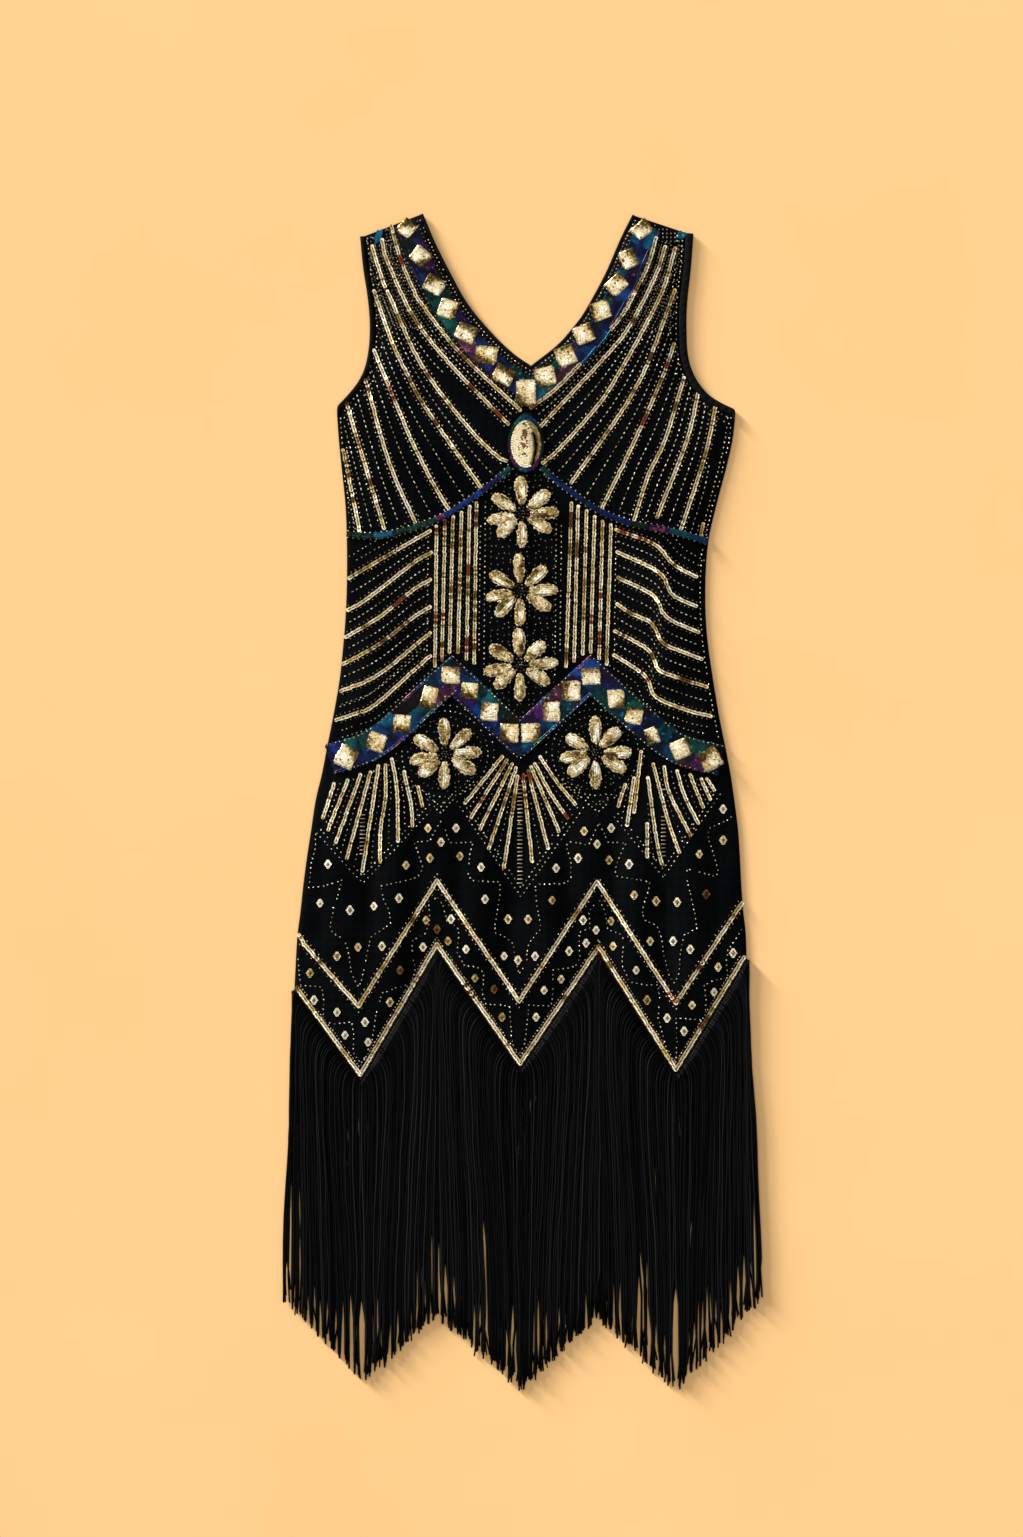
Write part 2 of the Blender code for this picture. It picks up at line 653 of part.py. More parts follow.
def fringe(name, kind, look):
    """A zigzag tape below the hem with strands drawn out of the faces of its lower side."""
    mesh_edit = bmesh.new()
    corners = np.array([(corner.x, corner.y) for corner in HEM])
    upper_corners = offset(corners, GAP)
    lower_corners = offset(corners, GAP + TAPE)
    upper, lower = [upper_corners[0]], [lower_corners[0]]
    for k, count in enumerate(kind.strands):
        for i in range(1, count + 1):
            upper.append(upper_corners[k] + (upper_corners[k + 1] - upper_corners[k]) * i / count)
            lower.append(lower_corners[k] + (lower_corners[k + 1] - lower_corners[k]) * i / count)
    floor = kind.tape_floor
    roof = floor + TAPE_THICK
    rings = []
    for (upper_x, upper_y), (lower_x, lower_y) in zip(upper, lower):
        rings.append(
            (
                point(mesh_edit, upper_x, upper_y, roof),
                point(mesh_edit, lower_x, lower_y, roof),
                point(mesh_edit, lower_x, lower_y, floor),
                point(mesh_edit, upper_x, upper_y, floor),
            )
        )
    mesh_edit.faces.new(rings[0])
    mesh_edit.faces.new(rings[-1][::-1])
    end_x = [corner.end_x * kind.spread for corner in HEM]
    end_y = [corner.end_y for corner in HEM]
    hem_x = [corner.x for corner in HEM]
    total = len(rings) - 1
    pitch = (hem_x[-1] - hem_x[0]) / total
    for i, (ring, following) in enumerate(zip(rings[:-1], rings[1:])):
        for a, b in ((0, 1), (2, 3), (3, 0)):
            mesh_edit.faces.new((ring[a], following[a], following[b], ring[b]))
        root = (ring[1], following[1], following[2], ring[2])
        root_x = (lower[i][0] + lower[i + 1][0]) / 2
        root_y = min(lower[i][1], lower[i + 1][1])
        tip_x = np.interp(root_x, hem_x, end_x)
        to_clump = (CLUMP - 1) / 2 - i % CLUMP
        tip_x += to_clump * pitch * CLUMP_PULL
        tip_y = np.interp(root_x, hem_x, end_y) + TIP_RAGGED * uneven(i)
        previous = root
        for share in kind.rings:
            x = root_x + (tip_x - root_x) * smooth_step(share)
            y = root_y + (tip_y - root_y) * share
            half = kind.width / 2 * (1 + (STRAND_TIP - 1) * share)
            z = kind.strand_floor
            ring_now = (
                point(mesh_edit, x - half, y, z + STRAND_THICK),
                point(mesh_edit, x + half, y, z + STRAND_THICK),
                point(mesh_edit, x + half, y, z),
                point(mesh_edit, x - half, y, z),
            )
            bridge(mesh_edit, previous, ring_now)
            previous = ring_now
        mesh_edit.faces.new(previous)
    bmesh.ops.recalc_face_normals(mesh_edit, faces=mesh_edit.faces)
    return finish(name, mesh_edit, look, smooth=False)


# ---------------------------------------------------------------- the dress


def build():
    clear_scene()
    net = material("beaded_net", (0.012, 0.013, 0.015), 0.85)
    crepe = material("plain_crepe", (0.011, 0.012, 0.013), 0.9)
    bias = material("bias_binding", (0.012, 0.013, 0.014), 0.7)
    iridescent = material("iridescent_sequins", (0.03, 0.06, 0.16), 0.35, 0.6)
    gold = material("gold_sequins", (0.6, 0.5, 0.3), 0.3, 0.9)
    chainette = material("fringe_yarn", (0.012, 0.013, 0.014), 0.6)

    panel("back_panel", BACK_GRID, crepe, BACK_TUCK, BACK_NECK_DROP, lifted=False)
    front = panel("front_panel", FRONT_GRID, net)
    cloth = Surface(front)

    bindings("front", FRONT_GRID, 0.0, 0.0, FRONT_FLOOR, BINDING_RISE, bias)
    back_rise = CLOTH - BACK_BINDING_FLOOR
    bindings("back", BACK_GRID, BACK_TUCK, BACK_NECK_DROP, BACK_BINDING_FLOOR, back_rise, bias)
    for side in ("left", "right"):
        bust_cord(side, iridescent, cloth)

    neck_band(iridescent, cloth)
    hip_band(iridescent, cloth)
    jewel(gold, cloth)
    for name, centre in FLOWERS.items():
        flower(name, centre, gold, cloth)
    for name, kind in FRINGES.items():
        fringe(name, kind, chainette)


build()
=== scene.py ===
import math
from collections import namedtuple

import bmesh
import bpy
import numpy as np
from mathutils import Matrix, Vector
from mathutils.bvhtree import BVHTree


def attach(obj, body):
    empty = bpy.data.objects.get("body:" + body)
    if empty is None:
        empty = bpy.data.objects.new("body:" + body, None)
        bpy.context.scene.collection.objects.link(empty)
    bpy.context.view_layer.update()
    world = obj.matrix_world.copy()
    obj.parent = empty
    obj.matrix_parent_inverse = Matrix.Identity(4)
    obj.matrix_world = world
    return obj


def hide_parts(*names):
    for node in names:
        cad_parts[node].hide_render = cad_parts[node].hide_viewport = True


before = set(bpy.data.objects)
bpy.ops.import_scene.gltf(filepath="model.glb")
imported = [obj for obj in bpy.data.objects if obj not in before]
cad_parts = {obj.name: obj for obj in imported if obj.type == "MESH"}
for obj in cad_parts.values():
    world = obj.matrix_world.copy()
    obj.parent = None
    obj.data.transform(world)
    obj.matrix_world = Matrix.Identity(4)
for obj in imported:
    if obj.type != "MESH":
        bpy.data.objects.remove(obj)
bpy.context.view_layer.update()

MM = 0.001
SKY = 100.0  # above everything, for looking down at the cloth

# ---------------------------------------------------------------- the cut, as the source has it

NECK = {
    "left": (
        (-100, 586), (-87.5, 556.5), (-73, 527.5), (-55, 495.5), (-32, 467.5), (-10, 446.5), (8, 434),
    ),
    "right": (
        (109.5, 585), (97.5, 561), (82, 525.5), (63, 490.5), (51, 473.5), (34, 454.5), (8, 434),
    ),
}
ARMHOLE = {
    "left": (
        (-163, 563), (-160, 532), (-156, 506), (-153.5, 480), (-154, 455), (-158, 433), (-165, 418),
        (-175, 405), (-186.5, 393),
    ),
    "right": (
        (170.5, 566), (168, 532), (164.5, 500), (163.5, 475), (165, 445), (171.5, 424), (183.5, 407),
        (198, 397), (213, 390),
    ),
}
CENTRE = ((434, 8), (395, 3.5), (-266, -3))  # height, x
SIDE_SEAM = (  # height, left x, right x
    (392, -186.4, 213), (360, -184.2, 209.5), (331, -181.3, 203), (295, -177.6, 193.5),
    (260, -176.2, 185.6), (225, -176, 182.6), (190, -177, 182.4), (158, -179.4, 184.6), (120, -183.4, 190),
    (82, -190, 196.4), (54, -195.6, 202), (26, -201, 207.4), (0, -207.2, 211.2), (-30, -211.8, 215),
    (-60, -216.4, 217), (-86, -219.8, 218.4), (-112, -222.6, 220.4), (-140, -226, 223.2),
    (-190, -228.8, 223.8),
)
HEM = np.array((  # x and y of each corner of the zigzag, then where the fringe under it ends
    (-228.6, -190, -239.6, -500), (-162.5, -280, -159.5, -581.5), (-86, -150, -87, -517),
    (-3, -269, -1.5, -590.5), (75.5, -152.5, 74, -519.5), (153, -275.5, 154, -590),
    (223.4, -159, 238, -499),
))
HEM_LINE = HEM[:, :2]
FRINGE_ENDS = HEM[:, 2:]
MIDDLE_CORNER = 3
SKIRT_TOP = -60.0
Grid = namedtuple("Grid", "strap yoke body skirt left_columns right_columns")
FRONT_GRID = Grid(30, 12, 92, 34, (16, 16, 20), (20, 16, 16))
BACK_GRID = Grid(16, 6, 48, 18, (8, 8, 10), (10, 8, 8))
BINDING_GRID = Grid(110, 46, 0, 0, (), ())
YOKE_SHARE = 0.7  # the share of an armhole that lies above the foot of the V
UNDERARM = {"left": 386.5, "right": 379.0}
CLOTH = 0.6  # the net and its crepe lining together
SOURCE_CLOTH = 1.2
GAP = 0.3
FRONT_FLOOR = SOURCE_CLOTH + GAP
FRONT_LIFT = 0.3  # the thin front lies in the middle of its solid's wall
NECK_BINDING = 3.0
ARMHOLE_BINDING = {"left": 4.0, "right": 7.0}
BACK_TUCK = 1.2
BACK_NECK_DROP = 4.0
REST_PUFF = 1.6
LEAST_PUFF = 0.2
EDGE_ROLL = 26.0
HEM_ROLL_SHARE = 0.8
SEAM_CURL = 0.5  # how far the front's edge rolls down to its side seam
SEAM_REACH = 5.0
SHOULDER_REACH = 8.0
SHARPEST_MITRE = 0.4  # the cosine past which a corner's mitre grows no longer

SWELLS = (  # x, y, half width, half height, rise
    (-98, 335, 62, 62, 2.6), (104, 335, 66, 60, 2.8), (0, 40, 150, 110, 1.6),
)
# Folds and creases: top x and y, bottom x and y, half width, and rise, which is below 0 in a trough.
FOLDS = (
    (137, 262, 147, 84, 17, 3.6), (173, 232, 166, 118, 16, 1.6), (-150, 190, -172, 70, 20, 1.4),
    (-178, 12, -180, -176, 20, 2.2), (-128, -6, -130, -226, 19, 3.2), (-84, 10, -80, -118, 17, 2.6),
    (-40, -16, -48, -196, 17, 2.8), (24, -30, 22, -214, 19, 3), (68, 4, 62, -120, 17, 2.6),
    (116, -4, 112, -206, 17, 3.4), (164, 20, 172, -220, 19, 3.6), (-134, 500, -120, 400, 17, 1.4),
    (142, 500, 128, 402, 17, 1.6),
)
# Smaller creases of the front, with troughs between the folds; no two are alike.
FRONT_CREASES = (
    (-153, -20, -152, -150, 7, -1.5), (-108, -10, -106, -188, 8, -1.7), (-64, -52, -70, -128, 6, -1.3),
    (-14, -84, -18, -205, 7, -1.5), (3, -60, 4, -150, 5, 0.8), (44, -20, 43, -170, 8, -1.6),
    (92, -12, 88, -160, 7, -1.5), (139, -66, 146, -236, 8, -1.9), (190, -30, 196, -170, 8, -1.6),
    (-199, -30, -205, -160, 7, -1.3), (150, 262, 158, 150, 7, -2), (126, 250, 133, 120, 6, -1.2),
    (155, 128, 168, 60, 8, -1.3), (-165, 250, -150, 150, 8, -0.9), (-112, 232, -128, 120, 9, 0.8),
    (-96, 425, -62, 300, 8, -0.8), (106, 430, 66, 306, 9, -0.8), (-150, 380, -138, 290, 8, 0.7),
    (168, 372, 158, 285, 8, 0.8), (-120, 110, -165, 62, 7, -0.9),
)
# The back lies on the floor and keeps a few low creases between its resting places.
BACK_CREASES = (
    (-120, 300, -112, 60, 9, 0.5), (96, 330, 108, 20, 10, 0.5), (-30, 60, -44, -190, 9, 0.5),
    (60, 10, 66, -150, 8, 0.45), (150, 0, 158, -200, 9, 0.5), (-150, 20, -158, -190, 10, 0.5),
)

PETALS = (  # turn, reach, half width
    (91, 37, 5.9), (42, 34.5, 6.3), (2, 37, 5.9), (-32, 34.5, 6.3), (-91, 35, 5.4), (-137, 33.5, 6.5),
    (-170, 36, 5.8), (149, 34.5, 6),
)
FLOWERS = {
    "flower_middle_1": (-1.0, 285.5),
    "flower_middle_2": (-2.5, 208.5),
    "flower_middle_3": (-3.0, 134.5),
    "flower_hip_left": (-78.0, 45.5),
    "flower_hip_right": (72.0, 47.0),
}
JEWEL_CENTRE = (3.0, 355.0)
JEWEL_HALF = (18.0, 28.5)
BUST_CORD = {
    "left": (
        (-176, 265.5), (-151, 263.5), (-120, 268.5), (-83, 281.5), (-49, 302.5), (-20, 324.5), (-12, 333),
    ),
    "right": (
        (184, 258.5), (144, 269.5), (106, 276.5), (73, 290.5), (45, 310), (25, 326), (18, 334),
    ),
}
HIP_BAND = (
    (-193, 40), (-146, 57.5), (-94, 104), (-71, 124), (-3, 59.5), (67.5, 124.5), (112, 84), (153, 52),
    (198, 39),
)
HIP_CORNERS = (0, 3, 4, 5, 8)
NECK_GEMS = (  # x, y, wide, tall, turn
    (-116, 571, 16, 17.5, -38), (-102.5, 542.6, 19, 17.5, -42), (-89.3, 514.5, 20.5, 17.5, -30),
    (-75, 490.5, 19.5, 20, -19), (-57, 466.5, 21.5, 18, -25), (-37, 444, 23, 19.5, -8),
    (-19, 424.5, 21.5, 18.5, -28), (3, 407, 20.5, 27, 0), (22.6, 422.7, 20.5, 20, 15),
    (43, 443.5, 20, 20, 20), (61.4, 465, 20, 19.5, 22), (78, 488.5, 19.5, 20, 20),
    (94, 514.5, 20.5, 17.5, 43), (105.9, 540.5, 17, 19.5, 22), (119, 569.7, 19.5, 15.5, 41),
)
HIP_GEMS = (
    (-176, 42.5, 20, 22.5, -29), (-146.5, 57.5, 19, 19.5, -18), (-121, 75.5, 18, 19.5, -5),
    (-94, 101.5, 15.5, 24, -16), (-72, 124.5, 20, 18.5, -3), (-53.5, 108.5, 17.5, 18.5, -6),
    (-33.5, 87.5, 18, 19, -5), (-13.5, 66.5, 20, 20, -2), (8, 66.5, 20.5, 20.5, 0),
    (28.5, 87.5, 18.5, 20.5, 1), (48, 108.5, 19.5, 21, 1), (68, 123.5, 20, 18.5, 3),
    (93, 100.5, 17.5, 19.5, 3), (111, 83.5, 18, 17.5, -15), (129, 63.5, 13.5, 17.5, 20),
    (157.5, 50.5, 20, 19.5, 22), (187, 40.5, 21.5, 21.5, 30),
)
# Hues of the facets between the gems, from the left end: beside the neck, beside the rays.
NECK_FACETS = (
    (0.97, 0.9), (0.3, 0.9), (0.15, 0.35), (0.68, 0.82), (0.22, 0.7), (0.36, 0.05), (0.5, 0.1),
    (0.75, 0.25), (0.7, 0.66), (0.8, 0.05), (0.12, 0.38), (0.98, 0.42), (0.78, 0.4), (0.66, 0.2),
    (0.38, 0.45), (0.9, 0.6),
)
# The same on the hip band: above, below.
HIP_FACETS = (
    (0.3, 0.4), (0.68, 0.38), (0.4, 0.2), (0.97, 0.6), (0.45, 0.1), (0.42, 0.05), (0.72, 0.25), (0.95, 0.3),
    (0.99, 0.42), (0.15, 0.48), (0.08, 0.6), (0.2, 0.4), (0.22, 0.66), (0.8, 0.7), (0.38, 0.36),
    (0.5, 0.38), (0.74, 0.08), (0.95, 0.4),
)

# ---------------------------------------------------------------- embroidery, as drawn on the net

# Gold lines, as points on their middle lines.
RAYS_LEFT = (
    ((-132, 575.5), (-123, 541.5), (-109, 508.5), (-100, 493.5), (-63, 446.5), (-3, 389.5)),
    ((-141, 559.5), (-138, 544.5), (-132, 529.5), (-110, 483.5), (-75, 437.5), (-15, 375.5)),
    ((-151, 553.5), (-145, 533), (-138, 513)),
    ((-135.5, 508), (-121, 474.5), (-112, 454.5), (-92, 419.5), (-51, 367.5), (-26, 343.5), (-17, 338.5)),
    ((-149, 508.5), (-131, 457.5), (-112, 417.5), (-96, 389.5), (-42, 311.5)),
    ((-149, 449.5), (-113, 362.5), (-89, 314.5), (-74, 289.5)),
    ((-158, 421.5), (-134, 337.5), (-108, 277.5)), ((-178, 401.5), (-139, 271.5)),
    ((-180, 349.5), (-163, 267.5)),
)
RAYS_RIGHT = (
    ((133, 561.5), (126, 537), (116, 515.5), (94, 477.5), (39, 416.5), (8, 391.5)),
    ((142, 552.5), (132, 522.5), (104, 469.5), (72, 431.5), (18, 373.5)),
    ((152, 551.5), (141, 512.5), (120, 469.5), (89, 414.5), (67, 384.5), (35, 349.5), (20, 336.5)),
    ((152, 509.5), (127, 441.5), (113, 412.5), (95, 382.5), (48, 316.5)),
    ((151, 455.5), (141, 426.5), (113, 361.5), (79, 291.5)),
    ((161, 421.5), (142, 359.5), (125, 323.5), (111, 279.5)), ((175, 405.5), (163, 356.5), (134, 282.5)),
    ((193, 395.5), (182, 344.5), (158, 270.5)), ((180, 275.5), (178, 264.5)),
)
COLUMNS_LEFT = (
    ((-86.5, 272.5), (-88, 133.5)), ((-78, 278.5), (-81, 139.5)), ((-70, 282.5), (-73.5, 147.5)),
    ((-61.5, 286.5), (-65, 147.5)), ((-53.5, 292.5), (-56.5, 140.5)), ((-46.5, 296.5), (-49, 136.5)),
)
COLUMNS_RIGHT = (
    ((48.5, 296.5), (43, 133.5)), ((55, 292.5), (51, 138.5)), ((63.5, 288.5), (59.5, 145.5)),
    ((71.5, 282.5), (67.5, 147.5)), ((79.5, 277.5), (76, 140.5)), ((88, 274.5), (83.5, 135.5)),
)
WAIST_LEFT = (
    ((-93, 268.5), (-174, 221.5)), ((-92, 246.5), (-108, 237.5), (-156, 200.5), (-175, 189.5)),
    ((-93, 219.5), (-110, 209.5), (-142, 183.5), (-177, 162.5)),
    ((-93, 192.5), (-109, 182.5), (-145, 154.5), (-180, 135.5)),
    ((-93, 166.5), (-145, 124.5), (-182, 108.5)), ((-93, 143.5), (-147, 95.5), (-166, 86.5), (-187, 79.5)),
)
WAIST_RIGHT = (
    ((93, 269.5), (122, 259.5), (135, 252.5), (150, 235.5), (173, 222.5)),
    ((94, 247.5), (135, 227.5), (147, 207.5), (156, 200.5), (173, 193.5)),
    ((95, 221.5), (125, 207.5), (135, 197.5), (139, 187.5), (149, 178.5), (175, 167.5)),
    ((94, 195.5), (107, 186.5), (125, 178.5), (133, 169.5), (138, 158.5), (149, 151.5), (178, 140.5)),
    ((92, 168.5), (125, 149.5), (135, 130.5), (150, 123.5), (184, 112.5)),
    ((91, 144.5), (122, 123.5), (133, 102.5), (167, 88.5), (188, 83.5)),
)
FANS = (
    ((-189, 15.5), (-200, -18.5)), ((-175, 19.5), (-195, -30.5)), ((-162.5, 24.5), (-187, -42.5)),
    ((-152.5, 27.5), (-176, -58.5)), ((-144.5, 33.5), (-160.5, -71.5)),
    ((-137.5, 34.5), (-137.5, 2.5), (-142, -27.5), (-143, -62.5)),
    ((-131, 40.5), (-126, 9.5), (-125, -41.5)), ((-119, 27.5), (-112, -5.5), (-110.5, -26.5)),
    ((-105, 12.5), (-100.5, -6.5)), ((-21, 42.5), (-58, -3.5)), ((-16, 39.5), (-52, -17.5)),
    ((-11, 35.5), (-43, -29.5)), ((-7, 31.5), (-34, -48.5)), ((-5.5, 23.5), (-19, -67.5)),
    ((0, 24.5), (9, -61.5)), ((5, 28.5), (25, -48.5)), ((8, 32.5), (36, -31.5)),
    ((12, 35.5), (28, 5.5), (45, -18.5)), ((17, 42.5), (34, 17.5), (52, -4.5)), ((102, 14.5), (95, -6.5)),
    ((111, 21.5), (104, -25.5)), ((118, 47.5), (111, -12.5)), ((125, 21.5), (133, -38.5), (139, -65.5)),
    ((124, -24.5), (124, -57.5)), ((130, 35.5), (145, -20.5), (156, -52.5)),
    ((141, 32.5), (146, 7.5), (167, -35.5)), ((154, 28.5), (162, 2.5), (175, -23.5)),
    ((167, 24.5), (180, -7.5)), ((178, 20.5), (187, 0.5)), ((184, 20.5), (191, 9.5)),
)
ZIGZAG = (
    (-224, -135.5), (-219, -144.5), (-164.5, -206.5), (-86, -81), (-4, -201.5), (74, -82), (152.5, -203.5),
    (219, -103.5),
)
# Stepped rows of beads on the skirt, above the upper zigzag of gold and, in the low ones, below it.
STEPS_LEFT = (
    (-207, -32.5), (-208, -50.5), (-212, -64.5), (-214, -88.5), (-198, -86.5), (-181, -80.5), (-184, -93.5),
    (-189, -108.5), (-193, -128.5), (-189, -134.5), (-178, -139.5), (-174, -155.5), (-171, -175.5),
    (-164, -187.5), (-160, -175.5), (-156, -155.5), (-152, -137.5), (-143, -131.5), (-132, -123.5),
    (-134, -110.5), (-139, -100.5), (-142, -86.5), (-123, -82.5), (-105, -77.5), (-100, -68.5),
    (-104, -55.5), (-109, -42.5), (-93, -41.5), (-87, -29.5), (-82, -22.5), (-78, -29.5), (-73, -43.5),
    (-50, -42.5), (-53, -55.5), (-55, -76.5), (-49, -81.5), (-23, -82.5), (-23, -95.5), (-28, -125.5),
    (-28, -133.5), (-19, -136.5), (-10, -143.5), (-8, -155.5), (-4, -174.5),
)
STEPS_RIGHT = (
    (210, -15.5), (205, -20.5), (187, -28.5), (184, -34.5), (190, -53.5), (195, -70.5), (193, -77.5),
    (181, -73.5), (164, -69.5), (164, -80.5), (170, -105.5), (174, -128.5), (161, -135.5), (157, -155.5),
    (156, -173.5), (151, -183.5), (146, -175.5), (141, -155.5), (138, -135.5), (133, -125.5), (121, -120.5),
    (119, -110.5), (124, -95.5), (127, -82.5), (117, -80.5), (94, -76.5), (92, -70.5), (97, -55.5),
    (103, -43.5), (85, -42.5), (81, -33.5), (76, -23.5), (71, -33.5), (66, -45.5), (47, -42.5), (43, -46.5),
    (48, -62.5), (48, -80.5), (40, -84.5), (17, -84.5), (12, -87.5), (14, -105.5), (18, -128.5),
    (7, -142.5), (4, -150.5), (4, -162.5), (-4, -174.5),
)
LOW_STEPS_LEFT = (
    (-225, -158.5), (-224, -172.5), (-222, -185.5), (-201, -187.5), (-199, -200.5), (-200, -222.5),
    (-187, -224.5), (-171, -222.5), (-169, -235.5), (-170, -252.5), (-162, -264.5), (-151, -242.5),
    (-147, -215.5), (-141, -193.5), (-127, -188.5), (-111, -183.5), (-108, -170.5), (-111, -150.5),
    (-110, -140.5), (-98, -134.5), (-93, -122.5), (-94, -105.5), (-86, -96.5), (-80, -105.5), (-76, -122.5),
    (-65, -127.5), (-64, -137.5), (-66, -152.5), (-59, -165.5), (-42, -168.5), (-39, -176.5), (-41, -192.5),
    (-37, -204.5), (-23, -205.5), (-13, -207.5), (-12, -225.5), (-11, -243.5), (-4, -255.5),
)
LOW_STEPS_RIGHT = (
    (-4, -255.5), (2, -243.5), (4, -225.5), (6, -205.5), (28, -206.5), (30, -190.5), (30, -170.5),
    (52, -167.5), (57, -158.5), (56, -143.5), (57, -132.5), (67, -128.5), (66, -112.5), (76, -99.5),
    (82, -112.5), (85, -130.5), (100, -135.5), (100, -150.5), (99, -165.5), (107, -182.5), (122, -185.5),
    (135, -185.5), (137, -200.5), (135, -218.5), (140, -235.5), (145, -255.5), (153, -262.5), (154, -240.5),
    (153, -218.5), (167, -219.5), (182, -220.5), (183, -200.5), (181, -185.5), (192, -180.5), (205, -178.5),
    (203, -162.5), (205, -150.5), (219, -130.5),
)
# Middles of the small diamonds among them.
RINGS = (
    (-95, -28.5), (-67, -28.5), (-82, -42.5), (-93, -58.5), (-63, -56.5), (-117, -65.5), (-42, -67.5),
    (-195, -64.5), (-124, -98.5), (-149, -106.5), (-173, -110.5), (-203, -103.5), (-38, -99.5),
    (-15, -119.5), (-165, -147.5), (-141, -146.5), (-186, -156.5), (-19, -156.5), (-5, -160.5),
    (12, -156.5), (61, -31.5), (88, -28.5), (74, -44.5), (55, -58.5), (86, -60.5), (106, -64.5),
    (33, -68.5), (200, -9.5), (200, -40.5), (176, -54.5), (29, -100.5), (5, -119.5), (111, -95.5),
    (133, -101.5), (154, -102.5), (183, -94.5), (46, -151.5), (127, -141.5), (150, -141.5), (167, -149.5),
    (-97, -120.5), (-86, -129.5), (-72, -119.5), (-100, -147.5), (-75, -141.5), (-57, -149.5),
    (-213, -173.5), (-209, -200.5), (-186, -212.5), (-178, -235.5), (-158, -222.5), (-155, -242.5),
    (-133, -202.5), (-123, -170.5), (-48, -178.5), (-29, -189.5), (-21, -217.5), (60, -120.5), (88, -121.5),
    (73, -130.5), (63, -143.5), (90, -146.5), (38, -179.5), (21, -190.5), (13, -217.5), (113, -170.5),
    (124, -200.5), (144, -218.5), (161, -231.5), (169, -205.5), (195, -167.5), (210, -153.5), (191, -192.5),
)
# Rows of beads under each fan and over the hip flowers' grounds, and each fan's middle line.
FAN_OUTLINES = (
    ((-204, -28.5), (-160, -76.5), (-91, -2.5)),
    ((-60, -2.5), (-2, -88.5), (57, -4.5)),
    ((94, -12.5), (140, -69.5), (194, 9.5)),
)
FLOWER_GROUNDS = (
    ((-127, 14), (-104, 6), (-82, -13.5), (-64, 6), (-46, 20)),
    ((38, 16), (56, 4), (75, -12.5), (96, 6), (116, 22)),
)
FAN_CENTRES = (((-160, 12), (-161, -66)), ((-3, 14), (-3, -84)), ((141, 10), (140, -62)))
# Where the gold film has turned: x, y, reach, film (0 red, 0.14 brown, 0.3 olive).
WORN_FILM = (
    (-178, 396, 8, 0), (-155, 414, 6, 0.02), (-132, 407, 9, 0), (-178, 330, 9, 0.1), (-173, 300, 8, 0.12),
    (-163, 360, 10, 0.16), (-151, 314, 10, 0.18), (-105, 405, 9, 0.28), (-102, 386, 5, 0.12),
    (-88, 375, 6, 0.1), (-62, 442, 7, 0.14), (-48, 414, 8, 0.06), (-26, 388, 8, 0.04), (-86, 270, 7, 0.04),
    (-86, 180, 9, 0.06), (-55, 230, 5, 0), (-55, 155, 8, 0), (-45, 280, 8, 0.14), (-65, 210, 12, 0.3),
    (-118, 175, 6, 0.14), (-148, 150, 6, 0.28), (-103, 128, 7, 0.02), (-70, 260, 9, 0.3),
    (-45, 200, 9, 0.28), (125, 441, 7, 0.14), (146, 434, 8, 0.06), (154, 394, 8, 0.28), (134, 408, 6, 0.28),
    (101, 264, 8, 0.06), (122, 260, 8, 0.08), (47, 279, 8, 0.12), (77, 205, 6, 0), (76, 160, 8, 0.04),
    (70, 180, 5, 0.02), (107, 188, 6, 0.28), (117, 120, 9, 0.04), (177, 274, 6, 0.06), (119, 195, 7, 0.3),
    (99, 164, 7, 0.1), (54, 250, 9, 0.3), (144, 160, 6, 0.26), (-85, -24, 8, 0.02), (-39, -1, 7, 0.02),
    (2, 22, 6, 0), (79, 22, 8, 0.1), (-212, -138, 6, 0.12), (-68, -90, 6, 0.12), (60, -196, 8, 0.1),
    (-53, -190, 9, 0.14), (150, -197, 6, 0.04), (-112, -250, 6, 0.06), (176, -253, 7, 0.14),
)

SIDES = ("left", "right")

# ---------------------------------------------------------------- lines on the cloth


def neighbours(rows):
    """Each row with the next one."""
    return zip(rows[:-1], rows[1:])


def spline(points, per_span=8):
    """A smooth curve through the points, as rows of (x, y)."""
    knots = np.array(points, float)
    ends = np.vstack([2 * knots[0] - knots[1], knots, 2 * knots[-1] - knots[-2]])
    curve = []
    for a, b, c, d in zip(ends[:-3], ends[1:-2], ends[2:-1], ends[3:]):
        square = 2 * a - 5 * b + 4 * c - d
        cube = 3 * b - a - 3 * c + d
        for t in np.arange(per_span) / per_span:
            curve.append(0.5 * (2 * b + (c - a) * t + square * t**2 + cube * t**3))
    return np.vstack([curve, knots[-1]])


def lengths(path):
    """How far along the path each of its points is."""
    return np.concatenate([[0.0], np.cumsum(np.hypot(*np.diff(path, axis=0).T))])


def at(path, places):
    """Points at the given distances along the path."""
    run = lengths(path)
    return np.column_stack([np.interp(places, run, path[:, 0]), np.interp(places, run, path[:, 1])])


def along(path, shares):
    """Points at the given shares of the path's length."""
    return at(path, np.array(shares) * lengths(path)[-1])


def at_step(path, place, ahead=0.5):
    """The point at a distance along the path, and the angle at which the path leaves it."""
    (x, y), (next_x, next_y) = at(path, [place, place + ahead])
    return x, y, math.atan2(next_y - y, next_x - x)


def heading(turn):
    """The direction at an angle and the one to its left."""
    return np.array((math.cos(turn), math.sin(turn))), np.array((-math.sin(turn), math.cos(turn)))


def side_normals(path):
    """For each point, the direction to the right of travel, longer at a corner so that offsets meet there."""
    step = np.diff(path, axis=0)
    step /= np.hypot(*step.T)[:, None]
    right = np.column_stack([step[:, 1], -step[:, 0]])
    before = np.vstack([right[:1], right])
    after = np.vstack([right, right[-1:]])
    middle = before + after
    middle /= np.hypot(*middle.T)[:, None]
    return middle / np.maximum((middle * after).sum(axis=1), SHARPEST_MITRE)[:, None]


